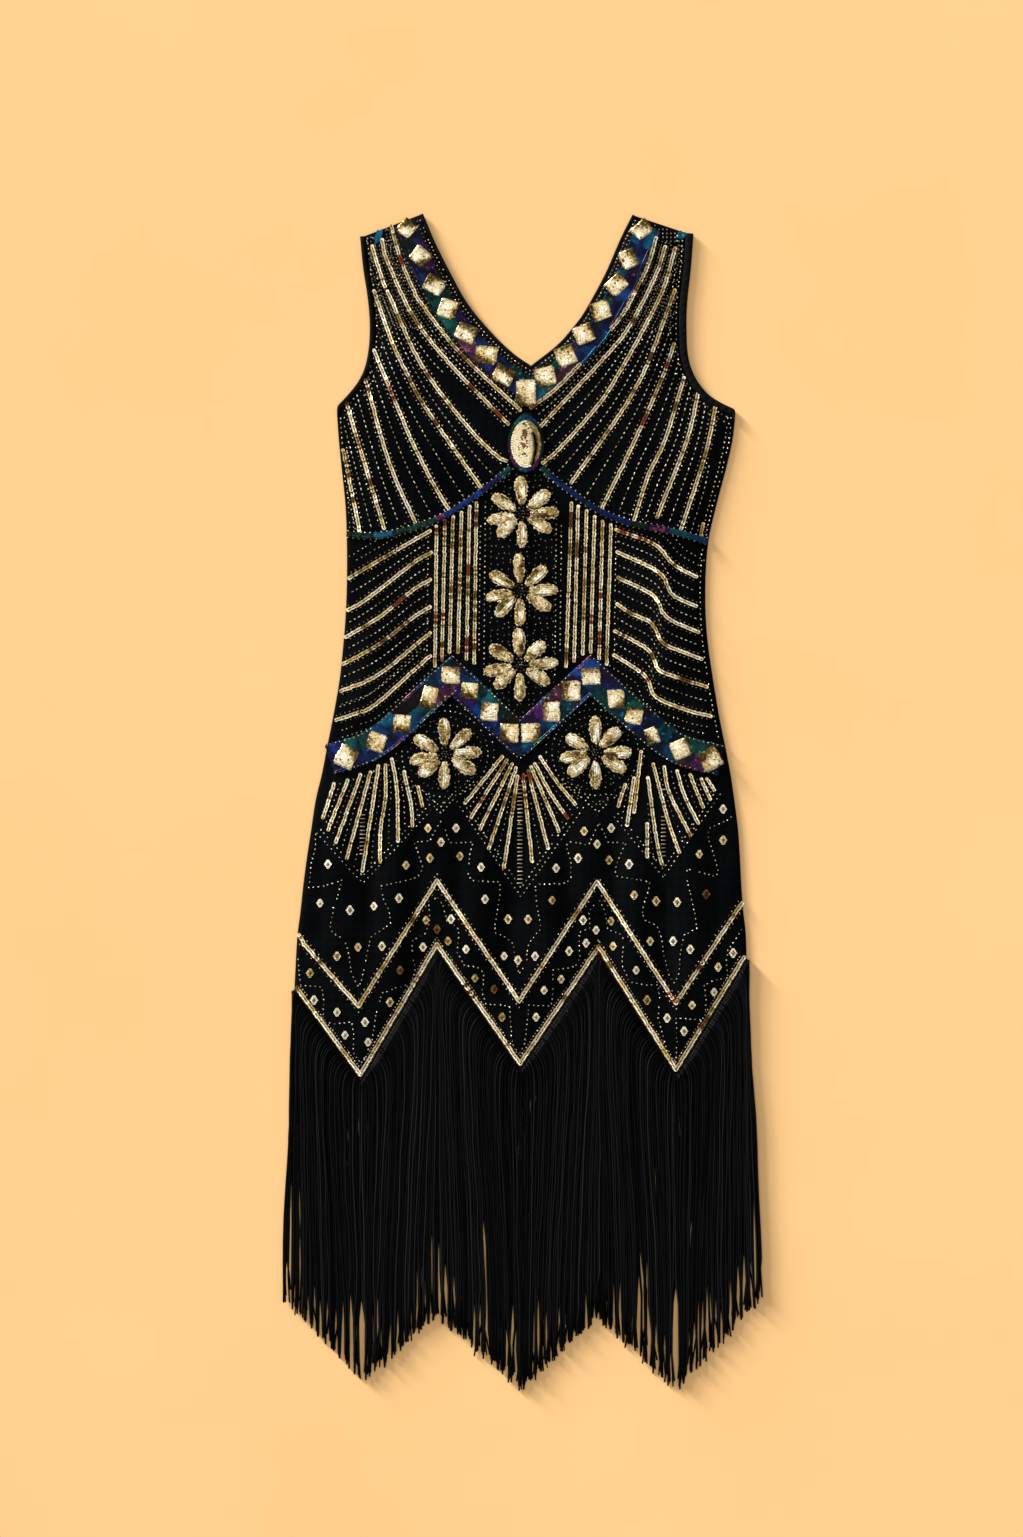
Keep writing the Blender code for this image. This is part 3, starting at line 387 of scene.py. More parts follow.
def offset(path, distance):
    """The path moved to the right of its travel."""
    return path + side_normals(path) * distance


def between(first, second, share=0.5, steps=40):
    """The line at a share of the way from one line to another."""
    places = np.linspace(0, 1, steps)
    return along(spline(first, 6), places) * (1 - share) + along(spline(second, 6), places) * share


def neck_path(drop=0.0):
    """The V from the left shoulder down and up to the right one; the cloth is on its right."""
    left, right = (spline(NECK[side]) for side in SIDES)
    for half in (left, right):
        half[:, 1] -= drop * (lengths(half) / lengths(half)[-1])
    return np.vstack([left, right[-2::-1]])


def neck_rows(side, distance, drop, grid):
    """One side of the V on the grid's rows, from the shoulder down, moved into the cloth by distance."""
    neck = offset(neck_path(drop), distance)
    foot = int(np.argmin(neck[:, 1]))
    neck = neck[: foot + 1] if side == "left" else neck[: foot - 1 : -1]
    return along(neck, np.linspace(0, 1, grid.strap + 1))


def armhole_path(side, distance=0.0):
    """The armhole from the shoulder down, moved into the cloth by distance."""
    return offset(spline(ARMHOLE[side]), -distance if side == "left" else distance)


def armhole_rows(side, distance, grid):
    """The armhole's points on the grid's rows, moved into the cloth by distance."""
    strap = np.linspace(0, YOKE_SHARE, grid.strap + 1)
    yoke = np.linspace(YOKE_SHARE, 1, grid.yoke + 1)
    return along(armhole_path(side, distance), np.concatenate([strap, yoke[1:]]))


SIDE_ROWS = {side: spline([(row[0], row[k]) for row in SIDE_SEAM])[::-1] for k, side in enumerate(SIDES, 1)}
CENTRE_ROWS = np.array(CENTRE, float)[::-1]


def side_x(side, height):
    """Where a side seam is at a height."""
    return np.interp(height, *SIDE_ROWS[side].T)


def centre_x(height):
    return np.interp(height, *CENTRE_ROWS.T)


def hem_height(x):
    return np.interp(x, *HEM_LINE.T)


def smooth_step(value):
    value = np.clip(value, 0.0, 1.0)
    return value * value * (3 - 2 * value)


# ---------------------------------------------------------------- finishes


def colour(code, alpha=1.0):
    """An sRGB hex code as the linear colour that a shader takes."""
    parts = [int(code[i : i + 2], 16) / 255 for i in (1, 3, 5)]
    linear = [part / 12.92 if part <= 0.04045 else ((part + 0.055) / 1.055) ** 2.4 for part in parts]
    return (*linear, alpha)


def wire(tree, node, sockets):
    """Sets sockets to values or links them; a node given as a value stands for its first output."""
    for name, value in sockets.items():
        if isinstance(value, bpy.types.Node):
            value = value.outputs[0]
        if isinstance(value, bpy.types.NodeSocket):
            tree.links.new(value, node.inputs[name])
        else:
            node.inputs[name].default_value = value


def add_node(tree, kind, sockets=None, **settings):
    """One node with its settings, its values and its links."""
    node = tree.nodes.new("ShaderNode" + kind)
    for name, value in settings.items():
        setattr(node, name, value)
    wire(tree, node, sockets or {})
    return node


def set_ramp(node, stops):
    """Colour stops as (place, hex code)."""
    ramp = node.color_ramp
    while len(ramp.elements) < len(stops):
        ramp.elements.new(0.5)
    for element, (place, code) in zip(ramp.elements, stops):
        element.position = place
        element.color = colour(code)


def new_finish(name, values):
    """A material with its shader's own values set, ready for its pattern."""
    look = bpy.data.materials.new(name)
    look.use_nodes = True
    shader = look.node_tree.nodes["Principled BSDF"]
    wire(look.node_tree, shader, values)
    return look, look.node_tree, shader


def woven_black(name, low, high, thread, lean, values):
    """Matte black cloth: crossing threads, pilled a little, the dye lighter and darker in soft random
    patches, with painted shade in the hollows of the weave.
    """
    look, tree, shader = new_finish(name, values)
    place = add_node(tree, "TexCoord").outputs["Object"]
    leaning = add_node(tree, "Mapping", {"Vector": place, "Rotation": (0, 0, lean)})
    # Real threads are 0.3 mm apart, which the render can't show, so they are drawn further apart.
    waves = {"Vector": leaning, "Scale": 1 / (20 * thread * MM), "Distortion": 1.5, "Detail": 2.0}
    warp = add_node(tree, "TexWave", waves, bands_direction="X", wave_profile="SIN").outputs["Fac"]
    weft = add_node(tree, "TexWave", waves, bands_direction="Y", wave_profile="SIN").outputs["Fac"]
    weave = add_node(tree, "Math", {0: warp, 1: weft}, operation="MAXIMUM")
    wear = add_node(tree, "TexNoise", {"Vector": place, "Scale": 14.0, "Detail": 6.0})
    dye = add_node(tree, "ValToRGB", {"Fac": wear})
    set_ramp(dye, ((0.35, low), (0.7, high)))
    # Painted shade: the hollows between the crossing threads are drawn darker and their crests lighter.
    shade = add_node(tree, "MapRange", {"Value": weave, "To Min": 0.72, "To Max": 1.15})
    tinted = add_node(tree, "VectorMath", {0: dye, "Scale": shade}, operation="SCALE")
    rough = add_node(tree, "MapRange", {"Value": wear, "To Min": 0.7, "To Max": 0.98})
    bump = add_node(tree, "Bump", {"Strength": 0.5, "Distance": 0.25 * MM, "Height": weave})
    wire(tree, shader, {"Base Color": tinted, "Roughness": rough, "Normal": bump})
    return look


def sequin_film(name, stops, hole, values):
    """Metallised film: each sequin's own tone, a darker punched middle and fine rub marks."""
    look, tree, shader = new_finish(name, values)
    tone, reach, shade = (
        add_node(tree, "Attribute", attribute_name=own).outputs["Fac"] for own in ("tone", "reach", "shade"))
    place = add_node(tree, "TexCoord").outputs["Object"]
    film = add_node(tree, "ValToRGB", {"Fac": tone})
    set_ramp(film, stops)
    punched = add_node(tree, "MapRange", {"Value": reach, "From Min": 0.2, "From Max": 0.55, "To Min": hole})
    # Rub marks are about a millimetre long on a 4 mm sequin.
    rubs = add_node(tree, "TexNoise", {"Vector": place, "Scale": 900.0, "Detail": 3.0})
    worn = add_node(tree, "MapRange", {
        "Value": rubs, "From Min": 0.3, "From Max": 0.7, "To Min": 0.82, "To Max": 1.1})
    both = add_node(tree, "Math", {0: punched, 1: worn}, operation="MULTIPLY")
    # The shade attribute sets each sequin's brightness: random tone, and also painted highlights, painted
    # shade and painted reflections laid in where the sequins are placed.
    shaded = add_node(tree, "Math", {0: both, 1: shade}, operation="MULTIPLY")
    tinted = add_node(tree, "VectorMath", {0: film, "Scale": shaded}, operation="SCALE")
    middling = values["Roughness"]
    rough = add_node(tree, "MapRange", {"Value": rubs, "To Min": middling - 0.08, "To Max": middling + 0.12})
    wire(tree, shader, {"Base Color": tinted, "Roughness": rough})
    return look


def lined_glass(name, stops, values):
    """Seed beads: clear glass with a silver lining that shows through, each bead its own tone."""
    look, tree, shader = new_finish(name, values)
    tone = add_node(tree, "Attribute", attribute_name="tone").outputs["Fac"]
    place = add_node(tree, "TexCoord").outputs["Object"]
    glass = add_node(tree, "ValToRGB", {"Fac": tone})
    set_ramp(glass, stops)
    swirl = add_node(tree, "TexNoise", {"Vector": place, "Scale": 700.0})
    lining = add_node(tree, "MapRange", {"Value": swirl, "To Min": 0.75, "To Max": 1.15})
    tinted = add_node(tree, "VectorMath", {0: glass, "Scale": lining}, operation="SCALE")
    wire(tree, shader, {"Base Color": tinted})
    return look


def twisted_yarn(name, low, high, values):
    """Twisted thread or chainette yarn, with painted shade: lighter on the crests of its twist than in its
    hollows.
    """
    look, tree, shader = new_finish(name, values)
    tone, reach = (
        add_node(tree, "Attribute", attribute_name=own).outputs["Fac"] for own in ("tone", "reach"))
    dyed = add_node(tree, "ValToRGB", {"Fac": tone})
    set_ramp(dyed, ((0.0, low), (1.0, high)))
    # The twist repeats every 2.2 mm along a strand; reach counts millimetres from its root.
    turns = add_node(tree, "Math", {0: reach, 1: math.tau / 2.2}, operation="MULTIPLY")
    twist = add_node(tree, "Math", {0: turns}, operation="SINE")
    # Painted shade: the twist's crests are drawn lighter and its hollows darker.
    shade = add_node(tree, "MapRange", {"Value": twist, "From Min": -1.0, "To Min": 0.82, "To Max": 1.1})
    # Painted shadow: within 20 mm of its root a strand is drawn darker, as if in the hem's shade; sewing
    # thread, whose reach is at most 1, is drawn at about a third of its colour throughout.
    painted_hem_shadow = add_node(tree, "MapRange", {"Value": reach, "From Max": 20.0, "To Min": 0.3})
    both = add_node(tree, "Math", {0: shade, 1: painted_hem_shadow}, operation="MULTIPLY")
    tinted = add_node(tree, "VectorMath", {0: dyed, "Scale": both}, operation="SCALE")
    bump = add_node(tree, "Bump", {"Strength": 0.6, "Distance": 0.2 * MM, "Height": twist})
    wire(tree, shader, {"Base Color": tinted, "Normal": bump})
    return look


def fibre(roughness, specular, sheen, sheen_roughness, tint):
    """The shader's own values for dyed fibre: how matte it is, and the fuzz that catches the light."""
    return {
        "Roughness": roughness, "Specular IOR Level": specular, "Sheen Weight": sheen,
        "Sheen Roughness": sheen_roughness, "Sheen Tint": colour(tint)}


# Polyester net over crepe: deep matte black, a little blue where the light grazes it.
NET = woven_black(
    "beaded_net_over_crepe", "#010204", "#06080a", 1.4, 0.0,
    fibre(0.45, 0.025, 0.006, 0.4, "#8590a0"))
# Plain crepe: the same black, with a finer pebbled weave.
CREPE = woven_black(
    "plain_polyester_crepe", "#040506", "#0a0b0d", 1.0, 0.35,
    fibre(0.6, 0.05, 0.015, 0.6, "#8a8f98"))
# Satin bias binding: threads lie at 45 degrees, so it shines softly along its fold.
BINDING = woven_black(
    "satin_bias_binding", "#030405", "#090b0e", 1.1, math.pi / 4,
    fibre(0.4, 0.08, 0.01, 0.4, "#9aa3b0"))
# Gold lame under the sequins of the pads: the same film gold, matte and darker in its weave.
GOLD_PAD = woven_black(
    "gold_lame_pad_cover", "#2c2212", "#5d4a29", 1.2, 0.6, {"Metallic": 0.5, "Roughness": 0.55})
# Champagne gold film on cupped sequins: warm metal, brown or red where the film has turned.
GOLD_STOPS = (
    (0.0, "#8e4431"), (0.14, "#5e3f25"), (0.3, "#806c3c"), (0.46, "#b99e63"), (0.62, "#e7cd93"),
    (0.78, "#faedc8"), (1.0, "#fff9e6"))
GOLD = sequin_film("champagne_gold_sequin_film", GOLD_STOPS, 0.35, {"Metallic": 1.0, "Roughness": 0.36})
# The same film on the smaller sequins of the diamonds and petals, whose punched middles hardly show.
FINE_GOLD = sequin_film("fine_champagne_sequin_film", GOLD_STOPS, 0.7, {"Metallic": 1.0, "Roughness": 0.32})
# Iridescent film: blue, teal and purple, with the hue of each patch in its tone.
RAINBOW = sequin_film("iridescent_sequin_film", (
    (0.0, "#a4647f"), (0.05, "#6e2a70"), (0.12, "#43196b"), (0.22, "#19175a"), (0.4, "#123f90"),
    (0.58, "#0d6180"), (0.76, "#146c64"), (0.9, "#1b352f"), (1.0, "#0a0d11"),
), 0.6, {"Metallic": 0.85, "Roughness": 0.3})
# Silver-lined seed beads: small bright cream dots, a few smoky or amber.
GLASS = lined_glass("silver_lined_seed_bead_glass", (
    (0.0, "#1a1510"), (0.3, "#6a5d46"), (0.6, "#a89d80"), (0.85, "#cfc7b0"), (1.0, "#f2eee0"),
), {"Metallic": 0.3, "Roughness": 0.22, "Coat Weight": 0.4, "Coat Roughness": 0.08})
# Dark gold sewing thread that holds the sequins down.
THREAD = twisted_yarn(
    "olive_brown_sewing_thread", "#150e06", "#3a2c14", {"Roughness": 0.8, "Specular IOR Level": 0.15})
# Black chainette yarn of the fringe: nearly matte, with a faint grey gleam down each strand.
YARN = twisted_yarn(
    "black_chainette_yarn", "#020203", "#191c21", fibre(0.5, 0.05, 0.006, 0.4, "#9a9a9c"))

# ---------------------------------------------------------------- making pieces


def mesh_piece(name, points, faces, look, smooth=True):
    """A piece from points in millimetres."""
    mesh = bpy.data.meshes.new(name)
    mesh.from_pydata(np.asarray(points) * MM, [], faces)
    mesh.materials.append(look)
    if smooth:
        mesh.shade_smooth()
    made = bpy.data.objects.new(name, mesh)
    bpy.context.scene.collection.objects.link(made)
    return made


def pick(*objects):
    """Selects only these objects; the first is the active one."""
    bpy.ops.object.select_all(action="DESELECT")
    for piece in objects:
        piece.select_set(True)
    bpy.context.view_layer.objects.active = objects[0]


def apply_modifiers(piece):
    pick(piece)
    for modifier in list(piece.modifiers):
        bpy.ops.object.modifier_apply(modifier=modifier.name)


def face_outward(piece):
    """Turns all faces of a closed piece outwards."""
    mesh_edit = bmesh.new()
    mesh_edit.from_mesh(piece.data)
    bmesh.ops.recalc_face_normals(mesh_edit, faces=mesh_edit.faces)
    mesh_edit.to_mesh(piece.data)
    mesh_edit.free()
    return piece


def sew_on(piece, slot, *nodes):
    """Ties a finished piece to the dress; it stands for the nodes named."""
    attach(piece, "root")
    if nodes:
        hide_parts(*nodes)
    return piece


class Ground:
    """The top of some pieces, for laying small things on them."""

    def __init__(self, *pieces):
        bpy.context.view_layer.update()
        graph = bpy.context.evaluated_depsgraph_get()
        self.trees = [BVHTree.FromObject(piece, graph) for piece in pieces]

    def under(self, x, y):
        """The highest point below a place and the way it faces, or nothing off the pieces."""
        best = None
        for tree in self.trees:
            hit, normal = tree.ray_cast(Vector((x, y, SKY)) * MM, Vector((0, 0, -1)))[:2]
            if hit and (best is None or hit.z / MM > best[0]):
                best = (hit.z / MM, np.array(normal if normal.z > 0 else -normal))
        return best

    def height(self, x, y, reach=0.0):
        """The highest point within reach of a place."""
        places = [(x, y)]
        for turn in range(6 if reach else 0):
            angle = math.tau * turn / 6
            places.append((x + reach * math.cos(angle), y + reach * math.sin(angle)))
        found = [self.under(*place) for place in places]
        return max((hit[0] for hit in found if hit), default=FRONT_FLOOR + CLOTH)


TAKEN_CELL = 8.0


class Taken:
    """Places that are covered, so that small things keep clear of each other."""

    def __init__(self):
        self.cells = {}

    def cell(self, x, y):
        return int(x // TAKEN_CELL), int(y // TAKEN_CELL)

    def add(self, x, y, reach):
        self.cells.setdefault(self.cell(x, y), []).append((x, y, reach))

    def free(self, x, y, reach):
        column, row = self.cell(x, y)
        near = [self.cells.get((column + i, row + j), ()) for i in (-1, 0, 1) for j in (-1, 0, 1)]
        return all(
            math.hypot(x - other_x, y - other_y) >= reach + other
            for cell in near for other_x, other_y, other in cell)


# ---------------------------------------------------------------- small repeated shapes

Shape = namedtuple("Shape", "points faces reach")


def turned(profile, sides, lengthwise=False):
    """A small closed form turned from (radius, height) rows, whose first and last rows are its poles."""
    points = [(0.0, 0.0, profile[0][1])]
    reach = [0.0]
    for radius, height in profile[1:-1]:
        for i in range(sides):
            angle = math.tau * i / sides
            points.append((radius * math.cos(angle), radius * math.sin(angle), height))
            reach.append(radius)
    points.append((0.0, 0.0, profile[-1][1]))
    reach.append(0.0)
    rings = len(profile) - 2
    faces = []
    for i in range(sides):
        j = (i + 1) % sides
        faces.append((0, 1 + i, 1 + j))
        for ring in range(rings - 1):
            a, b = 1 + ring * sides, 1 + (ring + 1) * sides
            faces += [(a + i, b + i, b + j), (a + i, b + j, a + j)]
        last = 1 + (rings - 1) * sides
        faces.append((last + i, len(points) - 1, last + j))
    points = np.array(points)
    return Shape(points[:, [2, 0, 1]] if lengthwise else points, np.array(faces), np.array(reach))


CUPPED_SEQUIN = turned(((0, 0.0), (0.5, 0.03), (1.0, 0.13), (0, -0.12)), 7)
FLAT_SEQUIN = turned(((0, 0.12), (1.0, 0.0), (0, -0.12)), 7)
BEAD = turned(((0, 0.7), (0.85, 0.42), (0.85, -0.42), (0, -0.7)), 6)
BUGLE = turned(((0, 1.0), (1.0, 0.8), (1.0, -0.8), (0, -1.0)), 4, lengthwise=True)


class Spots:
    """Places for copies of a small shape: where each is, which way it faces, its size and its tone."""

    def __init__(self):
        self.rows = []

    def add(self, place, ahead, up, size, tone, shade=1.0):
        if np.ndim(size) == 0:
            size = (size,) * 3
        self.rows.append((*place, *(*ahead, 0)[:3], *up, *size, tone, shade))


def store(mesh, name, values):
    """Keeps a number for each point, for its finish to read."""
    mesh.attributes.new(name, "FLOAT", "POINT").data.foreach_set("value", np.asarray(values, np.float32))


def scatter(name, shape, spots, look):
    """One piece with a copy of the shape at each spot, sewn on; only glass is smooth."""
    table = np.array(spots.rows)
    place, ahead, up, size = (table[:, k : k + 3] for k in (0, 3, 6, 9))
    up = up / np.linalg.norm(up, axis=1)[:, None]
    side = np.cross(up, ahead)
    side /= np.linalg.norm(side, axis=1)[:, None]
    axes = np.stack([np.cross(side, up), side, up], axis=1)
    points = place[:, None] + (shape.points[None] * size[:, None]) @ axes
    count = len(shape.points)
    faces = shape.faces[None] + (np.arange(len(table)) * count)[:, None, None]
    made = mesh_piece(name, points.reshape(-1, 3), faces.reshape(-1, 3).tolist(), look, look is GLASS)
    store(made.data, "tone", np.repeat(table[:, 12], count))
    store(made.data, "shade", np.repeat(table[:, 13], count))
    store(made.data, "reach", np.tile(shape.reach, len(table)))
    return sew_on(made, "iridescent_sequins" if look is RAINBOW else "gold_sequins")


def tilted(normal, ahead, lean, roll):
    """The normal leaning back along the row and rolling sideways, both in degrees."""
    ahead = np.array((*ahead, 0.0)[:3])
    side = np.cross(normal, ahead)
    leaning = normal - ahead * math.tan(math.radians(lean)) + side * math.tan(math.radians(roll))
    return leaning / np.linalg.norm(leaning)


# ---------------------------------------------------------------- front and back cloth


def half_rows(side, grid, tuck, neck_drop):
    """One half's grid as an array of rows, each from the outer edge to the middle."""
    left = side == "left"
    into_cloth = tuck if left else -tuck
    corners = HEM_LINE[: MIDDLE_CORNER + 1] if left else HEM_LINE[: MIDDLE_CORNER - 1 : -1]
    columns = grid.left_columns if left else grid.right_columns[::-1]
    hem = [corners[0]]
    for (a, b), count in zip(neighbours(corners), columns):
        hem += [a + (b - a) * i / count for i in range(1, count + 1)]
    hem = np.array(hem)
    share = ((hem[:, 0] - hem[0, 0]) / (hem[-1, 0] - hem[0, 0]))[:, None]

    outer = list(armhole_rows(side, ARMHOLE_BINDING[side] + GAP + tuck, grid))
    inner = list(neck_rows(side, NECK_BINDING + GAP + tuck, neck_drop, grid))
    for height in np.linspace(inner[-1][1], UNDERARM[side], grid.yoke + 2)[1:-1]:
        inner.append((centre_x(height), height))
    for height in np.linspace(UNDERARM[side], SKIRT_TOP, grid.body):
        outer.append((side_x(side, height) + into_cloth, height))
        inner.append((centre_x(height), height))
    rows = [np.array(a) + share * (np.array(b) - np.array(a)) for a, b in zip(outer, inner)]
    skirt = []
    for drop in np.arange(1, grid.skirt + 1) / grid.skirt:
        y = SKIRT_TOP + drop * (hem[:, 1] - SKIRT_TOP)
        edge = side_x(side, y[0]) + into_cloth
        skirt.append(np.column_stack([edge + share[:, 0] * (centre_x(y[-1]) - edge), y]))
    to_hem = hem - skirt[-1]
    rows += [row + to_hem * (index + 1) / grid.skirt for index, row in enumerate(skirt)]
    return np.array(rows)


def swell_rise(x, y):
    """How far the front stands up at each place, more over the bust and between the hips."""
    rise = np.full(x.shape, REST_PUFF)
    for middle_x, middle_y, half_x, half_y, lift in SWELLS:
        away = np.hypot((x - middle_x) / half_x, (y - middle_y) / half_y)
        rise += lift * np.exp(-(away**2))
    return rise


def fold_rise(x, y, folds):
    """How far ridges rise and troughs sink at each place; both fade out at their ends."""
    rise = np.zeros(x.shape)
    for top_x, top_y, bottom_x, bottom_y, half_width, lift in folds:
        run_x, run_y = bottom_x - top_x, bottom_y - top_y
        length = math.hypot(run_x, run_y)
        from_x, from_y = x - top_x, y - top_y
        share = (from_x * run_x + from_y * run_y) / length**2
        across = (from_x * run_y - from_y * run_x) / length
        ends = smooth_step(4 * np.minimum(share, 1 - share))
        rise += lift * ends * np.exp(-((across / half_width) ** 2))
    return rise


def front_heights(rows, grid):
    """The underside of the front, which settles on the back at every edge."""
    x, y = rows[..., 0], rows[..., 1]
    from_side = np.abs(x - x[:, :1])
    reach = from_side.copy()
    from_neck = np.hypot(x - x[:, -1:], y - y[:, -1:])
    reach[: grid.strap] = np.minimum(reach, from_neck)[: grid.strap]
    foot_x, foot_y = NECK["left"][-1]
    reach = np.minimum(reach, np.hypot(x - foot_x, y - foot_y))
    reach = np.minimum(reach, HEM_ROLL_SHARE * (y - hem_height(x)))
    shoulder = ARMHOLE["left"][0][1] + SHOULDER_REACH
    reach = np.clip(np.minimum(reach, shoulder - y), 0.0, None)
    rise = swell_rise(x, y) + fold_rise(x, y, FOLDS) + fold_rise(x, y, FRONT_CREASES)
    heights = FRONT_FLOOR + FRONT_LIFT + smooth_step(reach / EDGE_ROLL) * np.maximum(rise, LEAST_PUFF)
    seam_rows = np.arange(len(rows)) >= grid.strap + grid.yoke
    curl = SEAM_CURL * (1 - smooth_step(from_side / SEAM_REACH))
    return heights - curl * seam_rows[:, None]


def back_heights(rows, grid):
    """The back lies on the floor, lifted only along its low creases."""
    x, y = rows[..., 0], rows[..., 1]
    edge = np.minimum(np.abs(x - x[:, :1]), y - hem_height(x))
    inside = smooth_step(np.clip(edge, 0.0, None) / EDGE_ROLL)
    return inside * np.clip(fold_rise(x, y, BACK_CREASES), 0.0, None)


def panel(name, grid, look, heights_of, tuck=0.0, neck_drop=0.0):
    """A cloth panel: two halves gridded from the sides, sharing the points below the V."""
    points, faces = [], []
    middle = {}
    for side in SIDES:
        rows = half_rows(side, grid, tuck, neck_drop)
        heights = heights_of(rows, grid)
        numbers = np.zeros(heights.shape, int)
        last = heights.shape[1] - 1
        for row, column in np.ndindex(heights.shape):
            if column == last and row in middle:
                numbers[row, column] = middle[row]
                continue
            numbers[row, column] = len(points)
            points.append((*rows[row, column], heights[row, column]))
            if column == last and row >= grid.strap:
                middle[row] = numbers[row, column]
        for above, below in neighbours(numbers):
            for j in range(last):
                face = (above[j], below[j], below[j + 1], above[j + 1])
                faces.append(face if side == "left" else face[::-1])
    made = mesh_piece(name, points, faces, look)
    wall = made.modifiers.new("wall", "SOLIDIFY")
    wall.thickness = CLOTH * MM
    wall.offset = 1.0
    apply_modifiers(made)
    return made


# ---------------------------------------------------------------- bindings and strips

# Across a folded binding from the open edge to the sewn one: share of its width, share of its rise.
BINDING_PROFILE = (
    (0, 0.1), (0.02, 0.5), (0.12, 0.86), (0.32, 1.0), (0.6, 1.0), (0.84, 0.9), (0.97, 0.7), (1, 0.1))
BINDING_LAYERS = {"front": (FRONT_FLOOR, 2.0), "back": (0.2, 1.0)}  # floor, rise
PUCKER = 0.14  # how far the binding's top is drawn down between stitches
PUCKER_PITCH = 7.0
SEAM_LAP = 0.5  # a binding laps this far over the cloth's edge
WRAP_DOWN = np.array((0.25, 0.5, 0.75, 1.0))  # steps down the side seam, as shares of the binding's width
WRAP_IN = np.array((0.15, 0.34, 0.58, 0.88))
WRAP_PAST = 6.0  # it runs this much further down than it is wide
CORNER_IN = np.array((0.03, 0.09, 0.24, 0.1))  # the corner is rounded off by these shares
CORNER_MITRE = 1.04
STRIP_REACH = 2.0
STRIP_STEP = 4.0
STRIP_COLUMNS = 8
STRIP_THICK = 0.4


def loft(name, rings, look, smooth=True):
    """A closed skin through rings of the same number of points, capped at both ends."""
    count = len(rings[0])
    points = [place for ring in rings for place in ring]
    faces = []
    for k in range(len(rings) - 1):
        for i in range(count):
            j = (i + 1) % count
            faces.append((k * count + i, k * count + j, (k + 1) * count + j, (k + 1) * count + i))
    faces.append(tuple(range(count))[::-1])
    faces.append(tuple((len(rings) - 1) * count + i for i in range(count)))
    return face_outward(mesh_piece(name, points, faces, look, smooth))


def binding(node, layer, open_edge, sewn_edge):
    """A folded edge binding, drawn in a little by its stitches."""
    floor, rise = BINDING_LAYERS[layer]
    rings = []
    for run, out, sewn in zip(lengths(open_edge), open_edge, sewn_edge):
        pull = 1 - PUCKER * (0.5 + 0.5 * math.sin(math.tau * run / PUCKER_PITCH + math.sin(run / 19)))
        rings.append([
            (*(out + (sewn - out) * across), floor + rise * up * pull) for across, up in BINDING_PROFILE])
    return sew_on(loft("bias_" + node, rings, BINDING), "bias_binding", node)


def bindings(layer, tuck, drop):
    """The neck's and the armholes' bindings of one layer of cloth."""
    grid = BINDING_GRID
    neck = []
    for distance in (0.0, NECK_BINDING + SEAM_LAP):
        left, right = (neck_rows(side, tuck + distance, drop, grid) for side in SIDES)
        neck.append(np.vstack([left, right[-2::-1]]))
    made = [binding("neck_binding_" + layer, layer, *neck)]
    for side, width in ARMHOLE_BINDING.items():
        open_edge, sewn_edge = (
            armhole_rows(side, tuck + distance, grid) for distance in (0.0, width + SEAM_LAP))
        # The end is turned round the corner and runs out down the side seam.
        heights = open_edge[-1, 1] - WRAP_DOWN * (width + WRAP_PAST)
        inward = tuck if side == "left" else -tuck
        outer = np.column_stack([side_x(side, heights) + inward, heights])
        inner = sewn_edge[-1] + (outer[-1] - sewn_edge[-1]) * WRAP_IN[:, None]
        open_edge, sewn_edge = np.vstack([open_edge, outer]), np.vstack([sewn_edge, inner])
        first = -len(WRAP_DOWN) - 3
        rounded = slice(first, first + len(CORNER_IN))
        open_edge[rounded] += (sewn_edge - open_edge)[rounded] * CORNER_IN[:, None]
        made.append(binding("armhole_binding_" + layer + "_" + side, layer, open_edge, sewn_edge))
    return made


def clear_stations(path, half_width):
    """Places along a path, with none between a corner and where its inner edge has already met."""
    run = lengths(path)
    corners = {}
    for place, normal in zip(run[1:-1], side_normals(path)[1:-1]):
        mitre = np.hypot(*normal)
        if mitre > CORNER_MITRE:
            corners[place] = half_width * math.sqrt(mitre**2 - 1) + 0.5
    plain = np.linspace(0, run[-1], round(run[-1] / STRIP_STEP) + 1)
    kept = [place for place in plain if all(abs(place - corner) > reach for corner, reach in corners.items())]
    return np.array(sorted(kept + list(corners)))


def strip(name, path, half_width, ground):
    """A flat strip of cloth laid on what is under it, along a path."""
    line = at(path, clear_stations(path, half_width))
    rings = []
    for place, normal in zip(line, side_normals(line)):
        across = np.linspace(-half_width, half_width, STRIP_COLUMNS + 1)
        spots = place + normal * across[:, None]
        heights = [ground.height(*spot, STRIP_REACH) + GAP for spot in spots]
        top = [(*spot, height + STRIP_THICK) for spot, height in zip(spots, heights)]
        under = [(*spot, height) for spot, height in zip(spots, heights)]
        rings.append(top + under[::-1])
    return loft(name, rings, CREPE)


# ---------------------------------------------------------------- gold lines and seed beads

GOLD_SEQUIN = 2.05  # radius
GOLD_PITCH = 1.9
GOLD_LEAN = 6.0
LEAN_STRAY = 3
ROLL_STRAY = 4
GOLD_LIFT = 0.55
GOLD_STRAY = 0.18
GOLD_SIZES = (0.9, 1.06)
COLUMN_SIZE = 0.92  # the sequins of a line, as a share of the others
FAN_SIZE = 0.95
ZIGZAG_SIZE = 1.1
# How far the hem lines' tones are lifted toward white, as a painted highlight.
ZIGZAG_PAINTED_GLEAM = 0.06
STITCH = (GOLD_PITCH * 0.84, 0.52, 0.32)
STITCH_LIFT = 0.95
NOT_LAPPED = (435.0, 470.0)  # between these heights a gold line passes under a trim
